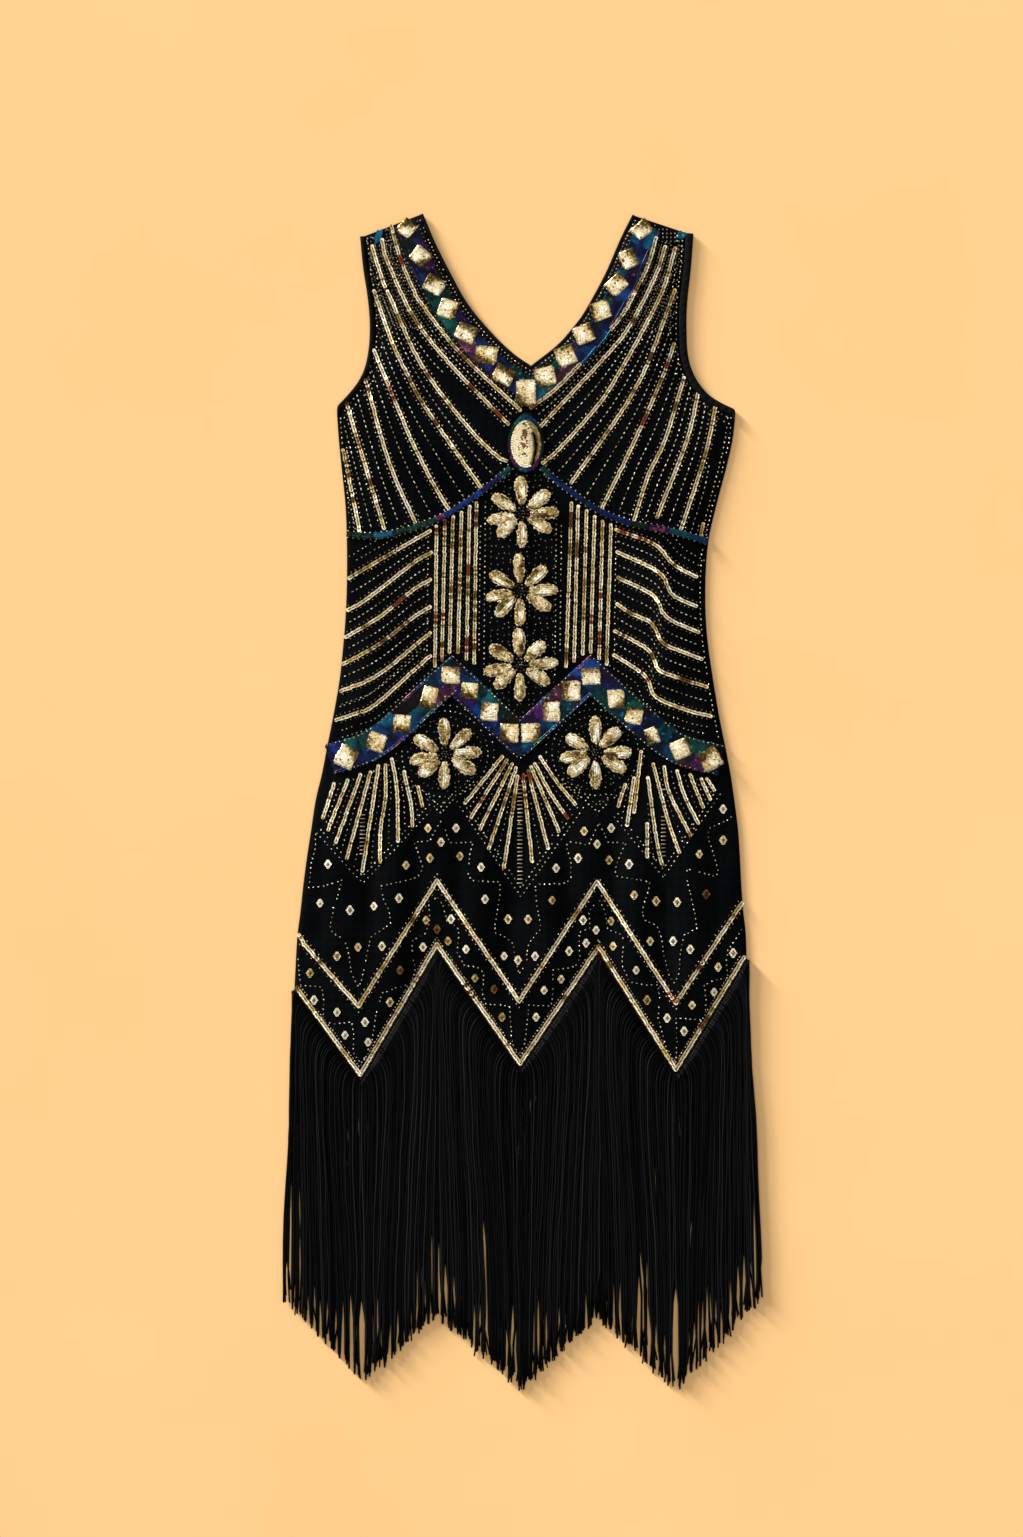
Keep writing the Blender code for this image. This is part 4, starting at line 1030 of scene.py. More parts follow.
# The second tone, near white, is a painted highlight along stretches of line; the others are film colours.
FILM_TONES = (0.76, 0.86, 0.62, 0.42, 0.24, 0.02)
FILM_SHARES = (0.52, 0.13, 0.2, 0.09, 0.05, 0.01)
FILM_STRETCHES = (4, 26)  # lengths of one film, which cream film and painted-highlight stretches exceed and others don't reach
ODD_TONES = (0.3, 0.5, 0.66, 0.92)
ODD_SHARE = 0.16
WORN_SHARE = 0.68  # of the sequins of a worn place
BEAD_SIZE = 0.8  # radius of a seed bead
BEAD_ROOM = 0.15
BEAD_STRAY = 0.15
BEAD_LIFT = 0.62  # a share of its size
BEAD_SIZES = (0.85, 1.15)
BEAD_STRUNG = np.array((1.2, 0.85))  # a bead in a row lies along its thread: its length and width
PITCH_STRAY = 0.06
BEADS_LOST = 0.03
EDGE_CLEAR = ((2.0, 0), (-2.0, 0), (0, 2.0), (0, -2.0))  # there is cloth this far round each bead
BESIDE_GOLD = (3.9, -3.9)
BUGLE_LIFT = 0.4
BUGLE_ROOM = 0.8
BUGLE_LENGTHS = (0.75, 1.15)
BUGLE_THICK = (0.48, 0.45)
RUNG_HALF = 2.8
RUNG_THICK = (0.55, 0.5)
RUNG_ROOM = 1.2
RUNG_PITCH = 3.9
FAN_SPREAD = 40  # lines of a fan end closer together than this
BEAD_ROWS = {  # pitch, size as a share of a bead's, tone, which is each bead's own where it is None
    "strap": (3.6, 0.85, None),
    "ray": (4.8, 0.88, None),
    "armhole": (5.2, 1.0, None),
    "past_armhole": (5.8, 1.0, None),
    "side": (5.0, 1.0, None),
    "column": (5.8, 0.7, 0.3),
    "upright": (5.4, 1.0, None),
    "waist": (4.8, 0.82, 0.42),
    "past_waist": (5.0, 0.9, 0.55),
    "flower": (5.4, 0.85, None),
    "past_flower": (7.5, 0.85, None),
    "fan": (5.6, 0.75, None),
    "fan_edge": (5.0, 1.0, None),
    "past_fan": (5.4, 0.85, None),
    "ground": (4.6, 1.0, None),
    "past_ground": (5.2, 0.8, None),
    "steps": (4.9, 0.95, None),
    "zigzag": (6.0, 0.75, None),
    "hem": (3.4, 0.85, None),
}
BUGLE_ROWS = {"ray": (5.4, 2.7), "waist": (5.0, 2.3)}  # pitch, length
UPRIGHTS = (  # x, top, bottom
    (-94.5, 276, 148), (-42.5, 276, 148), (38.5, 276, 148), (93.0, 276, 148), (-37.5, 300, 122),
    (33.5, 300, 122),
)
UPRIGHT_LEAN = 1.5
OUTER_ROWS = (11.5, -11.5, 18.5, -18.5)  # rows beyond the first and last lines of the waist
OUTER_ROWS_ABOVE = 240.0
OUTER_ROWS_BELOW = 112.0
STRAP_BEADS_ABOVE = 470.0  # the straps are beaded more closely
STRAP_ROW = 3.5
STRAP_LEAVES = ((-145, 564, 16, 5, 70), (159, 566, 12, 7, 40))  # x, y, long, wide, turn
LEAF_SIZE = 1.4
LEAF_PITCHES = (2.0, 1.9)
STRAP_RAYS = 5  # so many rays begin on each strap
STRAP_ROWS = (1, 2, 3, 4)
SHOULDER_X = (108, 166, 4.0)  # from, to, pitch
SHOULDER_HEIGHTS = (590, 540, -4.0)
ARMHOLE_ROWS = (("armhole", 3.0), ("past_armhole", 8.5))  # how far past the binding
SEAM_ROWS = (3.3, 7.2)  # how far in from a side seam
SEAM_HEIGHTS = (384, 262, -4)
LOW_SEAM_ROW = 5.0
LOW_SEAM_HEIGHTS = (258, 56, -4)
MIDDLE_X = (-32, 32, 6.2)  # dim beads round the middle flowers
MIDDLE_HEIGHTS = (324, 66, -5.9)
FLOWER_ROWS = (("flower", 43.0), ("past_flower", 49.0))  # radius
FLOWER_RINGS = (12.0, 18.0, 24.0, 30.0, 36.0)
FLOWER_RING_PITCH = 5.6
HEM_LINE_IN = 2.9
HEM_BEADS_IN = 3.7  # from the line's middle
RING_SCALES = 10
RING_HALF = (2.75, 4.2)
RING_FILMS = (0.22, 0.5, 0.66, 0.8, 0.88, 0.96)


class Embroidery:
    """All that is sewn on the net: gold lines first, then beads between them."""

    def __init__(self, cloth, trims, seed):
        self.cloth = cloth
        self.trims = trims
        self.random = np.random.default_rng(seed)
        self.taken = Taken()
        self.sequins, self.stitches, self.beads, self.bugles, self.leaves = (Spots() for _ in range(5))

    def gold_tones(self, count):
        """Stretches of cream, golden, olive, brown and red film, as worn sequin trim has, with near-white
        stretches that are painted highlights.
        """
        tones = []
        while len(tones) < count:
            film = self.random.choice(FILM_TONES, p=FILM_SHARES)
            length = self.random.uniform(*FILM_STRETCHES) * (1.6 if film > 0.7 else 0.6)
            tones += [film + self.random.normal(0, 0.03)] * (int(length / GOLD_PITCH) + 1)
        tones = np.array(tones[:count]) + self.random.normal(0, 0.09, count)
        odd = self.random.random(count) < ODD_SHARE
        tones[odd] = self.random.choice(ODD_TONES, odd.sum())
        return np.clip(tones, 0.0, 1.0)

    def gold_line(self, path, size=GOLD_SEQUIN, over=None, painted_gleam=0.0):
        """Overlapping sequins along a path, held down by a dark running stitch; it may lap over a trim."""
        path = spline(path, 6) if len(path) > 2 else np.array(path, float)
        run = lengths(path)[-1]
        count = int(run / GOLD_PITCH)
        if count < 2:
            return
        places = at(path, np.linspace(0, run, count))
        steps = np.gradient(places, axis=0)
        # A painted highlight: every tone of the line is lifted toward white by the gleam given.
        tones = np.clip(self.gold_tones(count) + painted_gleam, 0, 1)
        for k, ((x, y), step, tone) in enumerate(zip(places, steps, tones)):
            ahead = step / np.hypot(*step)
            x += self.random.normal(0, GOLD_STRAY)
            y += self.random.normal(0, GOLD_STRAY)
            found = self.cloth.under(x, y)
            lapped = over.under(x, y) if over and not NOT_LAPPED[0] < y < NOT_LAPPED[1] else None
            if not found or self.trims.under(x, y) and not lapped:
                continue
            height, normal = lapped or found
            worn = [film for at_x, at_y, reach, film in WORN_FILM if math.hypot(x - at_x, y - at_y) < reach]
            if worn and self.random.random() < WORN_SHARE:
                tone = max(0.0, worn[0] + self.random.normal(0, 0.06))
            lean = GOLD_LEAN + self.random.normal(0, LEAN_STRAY)
            up = tilted(normal, ahead, lean, self.random.normal(0, ROLL_STRAY))
            radius = size * self.random.uniform(*GOLD_SIZES)
            self.sequins.add((x, y, height + GOLD_LIFT), ahead, up, (radius * 0.95, radius, radius), tone)
            if k % 2:
                place = (x, y, height + STITCH_LIFT)
                self.stitches.add(place, ahead, normal, STITCH, self.random.random())
            self.taken.add(x, y, size)

    def bead(self, x, y, size=BEAD_SIZE, tone=None, turn=None):
        """One bead, where there is room for it on the net; in a row it lies along its thread."""
        if not self.taken.free(x, y, size + BEAD_ROOM) or self.trims.under(x, y):
            return
        found = self.cloth.under(x, y)
        if not found or not all(self.cloth.under(x + step_x, y + step_y) for step_x, step_y in EDGE_CLEAR):
            return
        height, normal = found
        tone = self.random.beta(2.6, 1.2) if tone is None else tone
        long, wide = (size, size) if turn is None else size * BEAD_STRUNG
        turn = self.random.uniform(0, math.tau) if turn is None else turn
        self.beads.add((x, y, height + size * BEAD_LIFT), heading(turn)[0], normal, (long, wide, wide), tone)
        self.taken.add(x, y, size)

    def bead_row(self, path, kind, tone=None, above=-1000.0, below=1000.0):
        """Beads along a path, a little unevenly spaced, as sewn by hand."""
        pitch, size, row_tone = BEAD_ROWS[kind]
        tone = row_tone if tone is None else tone
        path = np.array(path, float)
        for place in np.arange(pitch * 0.5, lengths(path)[-1], pitch):
            x, y, turn = at_step(path, place + self.random.normal(0, PITCH_STRAY * pitch))
            if self.random.random() < BEADS_LOST or not above < y < below:
                continue
            x += self.random.normal(0, BEAD_STRAY)
            y += self.random.normal(0, BEAD_STRAY)
            self.bead(x, y, BEAD_SIZE * size * self.random.uniform(*BEAD_SIZES), tone, turn)

    def rung(self, x, y):
        """One bugle bead across a fan's middle line."""
        found = self.cloth.under(x, y)
        if not found or not self.taken.free(x, y, RUNG_ROOM) or self.trims.under(x, y):
            return
        height, normal = found
        ahead = (1.0, self.random.normal(0, 0.05))
        tone = self.random.uniform(0.3, 0.75)
        self.bugles.add((x, y, height + BUGLE_LIFT), ahead, normal, (RUNG_HALF, *RUNG_THICK), tone)
        for shift in (-RUNG_HALF, 0, RUNG_HALF):
            self.taken.add(x + shift, y, 0.8)

    def bugle_row(self, path, kind, below=1000.0):
        """Short glass tubes laid end to end with gaps, along a path."""
        pitch, length = BUGLE_ROWS[kind]
        for place in np.arange(pitch * 0.5, lengths(path)[-1] - length / 2, pitch):
            x, y, turn = at_step(path, place)
            half = length / 2 * self.random.uniform(*BUGLE_LENGTHS)
            if y > below or not self.taken.free(x, y, half * BUGLE_ROOM) or self.trims.under(x, y):
                continue
            found = self.cloth.under(x, y)
            if not found:
                continue
            height, normal = found
            ahead = heading(turn + self.random.normal(0, 0.08))[0]
            tone = self.random.beta(2.6, 1.6)
            self.bugles.add((x, y, height + BUGLE_LIFT), ahead, normal, (half, *BUGLE_THICK), tone)
            self.taken.add(x, y, half * BUGLE_ROOM)


def strap_fill(work):
    """Close rows of dim beads between the rays of the straps, and a teal leaf on each shoulder."""
    for x, y, long, wide, turn in STRAP_LEAVES:
        ahead, left = heading(math.radians(turn))
        for u in np.arange(-long / 2, long / 2 + 0.1, LEAF_PITCHES[0]):
            reach = wide / 2 * math.sqrt(max(0.0, 1 - (2 * u / long) ** 2))
            for v in np.arange(-reach, reach + 0.1, LEAF_PITCHES[1]):
                spot = np.array((x, y)) + ahead * u + left * v
                found = work.cloth.under(*spot)
                if not found or work.trims.under(*spot):
                    continue
                height, normal = found
                shade = 0.8 + 0.6 * u / long + work.random.normal(0, 0.1)
                work.leaves.add((*spot, height + 0.5), ahead, normal, (LEAF_SIZE, 1.3, 1.3), 0.56, shade)
                work.taken.add(*spot, LEAF_SIZE)
    for rays in (RAYS_LEFT, RAYS_RIGHT):
        for row in STRAP_ROWS:
            for ray in rays[:STRAP_RAYS]:
                for distance in (row * STRAP_ROW, -row * STRAP_ROW):
                    tone = work.random.uniform(0.3, 0.55)
                    work.bead_row(offset(spline(ray, 6), distance), "strap", tone, STRAP_BEADS_ABOVE)
    for side in (-1, 1):
        for y in np.arange(*SHOULDER_HEIGHTS):
            for x in np.arange(*SHOULDER_X):
                tone = work.random.uniform(0.3, 0.6)
                work.bead(side * x, y, BEAD_SIZE * 0.9, tone, math.radians(90 + 20 * side))


def embroider_bodice(work, neck_base):
    """Gold rays from the neck, beads and bugle beads between them, and rows along the armholes."""
    for rays in (RAYS_LEFT, RAYS_RIGHT):
        for ray in rays:
            work.gold_line(ray, over=neck_base if ray is rays[0] else None)
    for rays in (RAYS_LEFT, RAYS_RIGHT):
        for ray in rays:
            for distance in BESIDE_GOLD:
                work.bead_row(offset(spline(ray, 6), distance), "ray", below=STRAP_BEADS_ABOVE)
        for first, second in neighbours(rays):
            work.bugle_row(between(first, second), "ray", below=STRAP_BEADS_ABOVE)
    for side, inward in zip(SIDES, (1, -1)):
        width = ARMHOLE_BINDING[side] + GAP
        for kind, past in ARMHOLE_ROWS:
            work.bead_row(armhole_path(side, width + past), kind)
        for distance in SEAM_ROWS:
            seam = [(side_x(side, y) + inward * distance, y) for y in np.arange(*SEAM_HEIGHTS)]
            work.bead_row(seam, "side")
    strap_fill(work)


def embroider_waist(work):
    """Gold columns round the middle flowers and slanting lines at the sides, with beads between."""
    for line in (*COLUMNS_LEFT, *COLUMNS_RIGHT):
        work.gold_line(line, GOLD_SEQUIN * COLUMN_SIZE)
    for line in (*WAIST_LEFT, *WAIST_RIGHT):
        work.gold_line(line)
    for columns in (COLUMNS_LEFT, COLUMNS_RIGHT):
        for first, second in neighbours(columns):
            work.bead_row(between(first, second), "column")
    for x, top, bottom in UPRIGHTS:
        work.bead_row(((x, top), (x - UPRIGHT_LEAN, bottom)), "upright")
    for lines in (WAIST_LEFT, WAIST_RIGHT):
        for line in lines:
            for distance in BESIDE_GOLD:
                work.bead_row(offset(spline(line, 6), distance), "waist")
        for first, second in neighbours(lines):
            work.bugle_row(between(first, second), "waist")
        for distance in OUTER_ROWS:
            first, last = (offset(spline(line, 6), distance) for line in (lines[0], lines[-1]))
            if first[:, 1].mean() > OUTER_ROWS_ABOVE:
                work.bead_row(first, "past_waist")
            if last[:, 1].mean() < OUTER_ROWS_BELOW:
                work.bead_row(last, "past_waist")
    seam = [(side_x("right", y) - LOW_SEAM_ROW, y) for y in np.arange(*LOW_SEAM_HEIGHTS)]
    work.bead_row(seam, "upright")


def stray_bead(work, x, y, spread):
    """A small dim bead near a place."""
    shift_x, shift_y = work.random.uniform(-spread, spread, 2)
    work.bead(x + shift_x, y + shift_y, BEAD_SIZE * 0.8, work.random.uniform(0.25, 0.6))


def embroider_centre(work):
    """Scattered dim beads round the middle flowers and beads over the hip flowers' grounds."""
    for y in np.arange(*MIDDLE_HEIGHTS):
        for x in np.arange(*MIDDLE_X):
            stray_bead(work, x, y, 1.7)
    for name in ("flower_hip_left", "flower_hip_right"):
        centre = np.array(FLOWERS[name])
        for kind, reach in FLOWER_ROWS:
            ring = [centre + reach * heading(turn)[0] for turn in np.linspace(0, math.tau, 60)]
            work.bead_row(ring, kind)
        for reach in FLOWER_RINGS:
            for turn in np.arange(0.0, math.tau, FLOWER_RING_PITCH / reach):
                stray_bead(work, *(centre + reach * heading(turn)[0]), 1.5)


def embroider_skirt(work):
    """Fans of gold lines with their ladders of bugle beads, and stepped rows of beads."""
    for ray in FANS:
        work.gold_line(ray, GOLD_SEQUIN * FAN_SIZE)
    for outline in FAN_OUTLINES:
        corners = np.array(outline, float)
        work.bead_row(corners, "fan_edge")
        work.bead_row(offset(corners, 5.0), "past_fan")
    for outline in FLOWER_GROUNDS:
        corners = np.array(outline, float)
        work.bead_row(corners, "ground")
        work.bead_row(corners + (0, 6), "past_ground")
    for (top_x, top_y), (foot_x, foot_y) in FAN_CENTRES:
        for y in np.arange(top_y, foot_y, -RUNG_PITCH):
            work.rung(top_x + (foot_x - top_x) * (y - top_y) / (foot_y - top_y), y)
    for first, second in neighbours(FANS):
        if math.dist(first[-1], second[-1]) < FAN_SPREAD:
            work.bead_row(between(first, second), "fan")
    for steps in (STEPS_LEFT, STEPS_RIGHT, LOW_STEPS_LEFT, LOW_STEPS_RIGHT):
        work.bead_row(steps, "steps")


def ring_motif(work, x, y):
    """A small upright diamond of sequins round a bead."""
    film = work.random.choice(RING_FILMS)
    half = np.array(RING_HALF) * work.random.uniform(0.88, 1.08)
    corners = np.array(((1, 0), (0, 1), (-1, 0), (0, -1), (1, 0)))
    for k in range(RING_SCALES):
        side, share = divmod(4 * k / RING_SCALES, 1)
        place = corners[int(side)] * (1 - share) + corners[int(side) + 1] * share
        spot = (x, y) + half * place
        found = work.cloth.under(*spot)
        if not found:
            return
        height, normal = found
        outward = place / np.hypot(*place)
        up = tilted(normal, outward, -5, work.random.normal(0, 5))
        tone = np.clip(film + work.random.normal(0, 0.08), 0, 1)
        work.sequins.add((*spot, height + 0.5), outward, up, 1.2, tone)
    work.taken.add(x, y, 5.2)
    height, normal = work.cloth.under(x, y)
    work.beads.add((x, y, height + 0.8), (0, 1), normal, (0.9, 0.6, 0.7), film * 0.8)


def embroider_hem(work):
    """The double zigzag of gold, its beads and the small diamonds between."""
    upper = np.array(ZIGZAG, float)
    lower = offset(HEM_LINE, -HEM_LINE_IN)
    for line in (upper, lower):
        for ends in neighbours(line):
            work.gold_line(ends, GOLD_SEQUIN * ZIGZAG_SIZE, painted_gleam=ZIGZAG_PAINTED_GLEAM)
    for place in RINGS:
        ring_motif(work, *place)
    for distance in BESIDE_GOLD:
        work.bead_row(offset(upper, distance), "zigzag")
    work.bead_row(offset(lower, -HEM_BEADS_IN), "hem")


# ---------------------------------------------------------------- bands with gold diamonds

Gem = namedtuple("Gem", "x y wide tall turn")
Band = namedtuple("Band", "name path width gems facets film edge_rows seed edge_seed")
GEM_RISE = 1.9
FINE_LIFT = 0.3  # small sequins lie this far over what they are sewn to
FILM_PITCH = 2.15
FILM_ROWS = 0.87  # rows lie this share of the pitch apart
FILM_STRAY = 0.12
FILM_SEQUIN = 1.5  # radius
FILM_REACH = 17.0  # no film lies further from a band's middle
FILM_MARGIN = 22.0  # rows of film begin this far outside the band's middle line
FACET_END = 28.0  # the first and last facet are this long
FACET_GLOW = (0.26, 0.82)
PAINTED_GLINTS = 0.02  # of the film's sequins get a painted glint
EDGE_BEADS_LOST = 0.06
GEM_PITCH = 1.75
GEM_SEQUIN = 1.12


def hip_band_path():
    """The hip band's middle line: smooth between its corners and sharp at them."""
    first, *others = (spline(HIP_BAND[a : b + 1], 6) for a, b in neighbours(HIP_CORNERS))
    return np.vstack([first] + [stretch[1:] for stretch in others])


NECK_BAND_WIDTH = 31.4
BANDS = (  # film: between these distances from the middle; edge rows: distance, pitch, bead, tone
    Band("neck_band", offset(neck_path(), NECK_BINDING + 2 * GAP + NECK_BAND_WIDTH / 2)[1:-1],
         NECK_BAND_WIDTH, [Gem(*row) for row in NECK_GEMS], NECK_FACETS, (-9.4, 13.0),
         ((-14.2, 4.2, 0.82, 0.6), (-10.9, 4.4, 0.72, 0.4), (14.4, 5.0, 0.72, 0.4)), 21, 81),
    Band("hip_band", hip_band_path(), 30.0, [Gem(*row) for row in HIP_GEMS], HIP_FACETS, (-15.0, 15.0),
         ((-14.2, 4.8, 0.82, 0.5), (14.2, 4.8, 0.82, 0.5)), 31, 82),
)


def place_on(fine, x, y):
    """How far along a path of 1 mm steps a place is, how far to its right, and its direction there."""
    nearest = int(np.argmin(np.hypot(fine[:, 0] - x, fine[:, 1] - y)))
    ahead = fine[min(nearest + 2, len(fine) - 1)] - fine[max(nearest - 2, 0)]
    ahead = ahead / np.hypot(*ahead)
    away = np.array((x, y)) - fine[nearest]
    return nearest, away[0] * ahead[1] - away[1] * ahead[0], ahead


def model_pad():
    """A padded diamond of unit side, its top drawn in to soft shoulders, kept as a pattern for copies."""
    bpy.ops.object.select_all(action="DESELECT")
    bpy.ops.mesh.primitive_cube_add(size=1.0, location=(0, 0, 0.5))
    pad = bpy.context.object
    bpy.ops.object.mode_set(mode="EDIT")
    bpy.ops.mesh.select_all(action="DESELECT")
    mesh_edit = bmesh.from_edit_mesh(pad.data)
    for face in mesh_edit.faces:
        face.select = face.normal.z > 0.9
    bmesh.update_edit_mesh(pad.data)
    bpy.ops.transform.translate(value=(0, 0, -0.45))
    bpy.ops.mesh.inset(thickness=0.08)
    bpy.ops.transform.translate(value=(0, 0, 0.4))
    bpy.ops.mesh.inset(thickness=0.2)
    bpy.ops.transform.translate(value=(0, 0, 0.1))
    bpy.ops.object.mode_set(mode="OBJECT")
    soft = pad.modifiers.new("soft", "BEVEL")
    soft.width = 0.05
    soft.segments = 2
    apply_modifiers(pad)
    return pad


def placed(place, turn, size):
    """Puts a pattern of unit size at a place, turned by degrees."""
    grown = Matrix.Diagonal((*(side * MM for side in size), 1))
    return Matrix.Translation(Vector(place) * MM) @ Matrix.Rotation(math.radians(turn), 4, "Z") @ grown


def copies_of(pattern, name, matrices, look):
    """One piece from copies of a modelled pattern, each with a mesh of its own before they are joined."""
    made = []
    for matrix in matrices:
        mesh = pattern.data.copy()
        mesh.transform(matrix)
        copy = bpy.data.objects.new(name, mesh)
        bpy.context.scene.collection.objects.link(copy)
        made.append(copy)
    pick(*made)
    if len(made) > 1:
        bpy.ops.object.join()
    joined = bpy.context.view_layer.objects.active
    joined.name = name
    joined.data.materials.clear()
    joined.data.materials.append(look)
    joined.data.shade_smooth()
    return joined


def film_sequins(band, ground):
    """Small iridescent sequins over a band: each facet between the gems has a hue of its own."""
    random = np.random.default_rng(band.seed)
    spots = Spots()
    fine = at(band.path, np.arange(0, lengths(band.path)[-1], 1.0))
    gem_places = sorted(place_on(fine, gem.x, gem.y)[0] for gem in band.gems)
    ends = [gem_places[0] - FACET_END, *gem_places, gem_places[-1] + FACET_END]
    hues = {}
    low, high = fine.min(axis=0) - FILM_MARGIN, fine.max(axis=0) + FILM_MARGIN
    for row, row_y in enumerate(np.arange(low[1], high[1], FILM_PITCH * FILM_ROWS)):
        for row_x in np.arange(low[0] + (row % 2) * FILM_PITCH / 2, high[0], FILM_PITCH):
            if np.hypot(*(fine - (row_x, row_y)).T).min() > FILM_REACH:
                continue
            x, y = row_x + random.normal(0, FILM_STRAY), row_y + random.normal(0, FILM_STRAY)
            found = ground.under(x, y)
            along_path, across, ahead = place_on(fine, x, y)
            if not found or not band.film[0] < across < band.film[1]:
                continue
            gap = int(np.searchsorted(gem_places, along_path))
            start, end = ends[gap], ends[gap + 1]
            half = (along_path - (start + end) / 2) / (end - start)
            facet = (gap, across > 0, half > 0)
            if facet not in hues:
                hue = band.facets[gap][int(across > 0)] + random.normal(0, 0.07)
                hues[facet] = (hue, random.uniform(0, math.tau), random.uniform(*FACET_GLOW))
            hue, turn, glow = hues[facet]
            # Painted reflection: each facet is drawn darker toward one side and lighter toward the other,
            # crossed by lighter streaks, its hue shifting a little with them.
            slope = np.clip(half * math.cos(turn) * 2 + across / 13 * math.sin(turn), -1, 1)
            streak = math.sin(slope * 5.5 + turn * 3)
            tone = np.clip(hue + 0.06 * slope + 0.05 * streak + random.normal(0, 0.02), 0, 1)
            shade = glow * (0.2 + 0.8 * (0.5 + 0.5 * slope) ** 1.4) * (0.78 + 0.48 * streak)
            shade += random.normal(0, 0.04)
            # A few sequins are drawn much lighter, a painted glint.
            if random.random() < PAINTED_GLINTS:
                shade += random.uniform(0.4, 1.5)
            height, normal = found
            up = tilted(normal, heading(turn)[0], 7, random.normal(0, 3))
            spots.add((x, y, height + FINE_LIFT), ahead, up, FILM_SEQUIN, tone, max(shade, 0.06))
    return scatter(band.name + "_film_sequins", FLAT_SEQUIN, spots, RAINBOW)


def border_sequins(band, ground):
    """Fine lines of small sequins on end along each edge of a band's film, worn away for long stretches."""
    random = np.random.default_rng(band.seed + 2)
    spots = Spots()
    for edge, inward in zip(band.film, (1, -1)):
        for step in (0.4, 2.4):
            line = offset(band.path, edge + inward * step)
            waves = random.uniform(0, 6, 2)
            for place in np.arange(0.6, lengths(line)[-1], 1.6):
                x, y, turn = at_step(line, place, 0.4)
                found = ground.under(x, y)
                shade = 0.2 + 0.6 * math.sin(place / 9 + waves[0]) + random.normal(0, 0.2)
                if not found or shade < 0.1:
                    continue
                height, normal = found
                tone = np.clip(0.4 + 0.4 * math.sin(place / 13 + waves[1]) + random.normal(0, 0.07), 0, 1)
                spots.add((x, y, height + 0.7), heading(turn)[0], normal, (0.8, 0.3, 0.35), tone, shade)
    return scatter(band.name + "_border_sequins", BUGLE, spots, RAINBOW)


def gem_sequins(band, ground):
    """Close rows of gold sequins over each padded diamond; one side is drawn in duller, darker film as
    painted shade, and one spot lighter as a painted highlight.
    """
    random = np.random.default_rng(band.seed + 1)
    spots = Spots()
    for gem in band.gems:
        ahead, left = heading(math.radians(gem.turn))
        dull_and_shaded_way = heading(random.uniform(0, math.tau))[0]
        dull_and_shaded_from = random.uniform(-0.15, 0.45)
        painted_gleam_at = -0.4 * dull_and_shaded_way + random.normal(0, 0.25, 2)
        brightness = random.uniform(0.62, 0.82)
        waves = random.uniform(0, math.tau, 2)
        for u in np.arange(-gem.wide / 2 + 0.7, gem.wide / 2 - 0.3, GEM_PITCH):
            for v in np.arange(-gem.tall / 2 + 0.7, gem.tall / 2 - 0.3, GEM_PITCH):
                inside = np.array((2 * u / gem.wide, 2 * v / gem.tall))
                ragged = 0.24 * math.sin(u * 0.9 + v * 0.7 + waves[0]) + random.normal(0, 0.09)
                if abs(inside[0]) ** 4 + abs(inside[1]) ** 4 + ragged > 1.15:
                    continue
                bend = 0.5 * math.sin(v * 0.5 + waves[1])
                x, y = np.array((gem.x, gem.y)) + ahead * (u + bend) + left * v + random.normal(0, 0.15, 2)
                found = ground.under(x, y)
                if not found:
                    continue
                height, normal = found
                # Painted shade and highlight: one side is drawn in duller, darker film as if shaded, and one
                # spot lighter as a painted gleam.
                dull_and_shaded = np.clip((inside @ dull_and_shaded_way - dull_and_shaded_from) * 2.0 + random.normal(0, 0.2), 0, 1)
                painted_gleam = math.exp(-8 * np.sum((inside - painted_gleam_at) ** 2))
                tone = brightness + 0.3 * painted_gleam - 0.4 * dull_and_shaded + random.normal(0, 0.1)
                tone = np.clip(random.choice((0.1, 0.24, 0.9)) if random.random() < 0.04 else tone, 0, 1)
                shade = 0.88 + 0.25 * painted_gleam - 0.55 * dull_and_shaded + random.normal(0, 0.05)
                up = tilted(normal, ahead, 3 + random.normal(0, 3), random.normal(0, 4))
                spots.add((x, y, height + 0.35), ahead, up, GEM_SEQUIN, tone, shade)
    return scatter(band.name + "_gold_sequins", FLAT_SEQUIN, spots, FINE_GOLD)


def edge_beads(band, ground):
    """White beads in rows beside a band's middle line."""
    random = np.random.default_rng(band.edge_seed)
    spots = Spots()
    for distance, pitch, size, tone in band.edge_rows:
        line = offset(band.path, distance)
        for place in np.arange(1.0, lengths(line)[-1], pitch):
            x, y = at(line, [place + random.normal(0, 0.3)])[0] + random.normal(0, 0.15, 2)
            found = ground.under(x, y)
            if found and random.random() > EDGE_BEADS_LOST:
                radius = size * random.uniform(0.85, 1.12)
                height, normal = found
                own_tone = np.clip(random.normal(tone, 0.12), 0, 1)
                spots.add((x, y, height + 0.75), (1, 0), normal, radius, own_tone)
    return scatter(band.name + "_edge_beads", BEAD, spots, GLASS)


def sew_band(band, front, pad):
    """A band of iridescent film sequins with its raised gold diamonds."""
    base = strip("crepe_strip_" + band.name, band.path, band.width / 2, front)
    sew_on(base, "iridescent_sequins", band.name)
    on_base = Ground(base)
    matrices = []
    for gem in band.gems:
        height = min(front.height(gem.x, gem.y, gem.wide / 2) + GAP, on_base.height(gem.x, gem.y))
        matrices.append(placed((gem.x, gem.y, height), gem.turn, (gem.wide, gem.tall, GEM_RISE)))
    pads = sew_on(copies_of(pad, band.name + "_pads", matrices, GOLD_PAD), "gold_sequins")
    film_sequins(band, on_base)
    border_sequins(band, on_base)
    gem_sequins(band, Ground(pads))
    return base, pads


# ---------------------------------------------------------------- flowers, jewel and cords

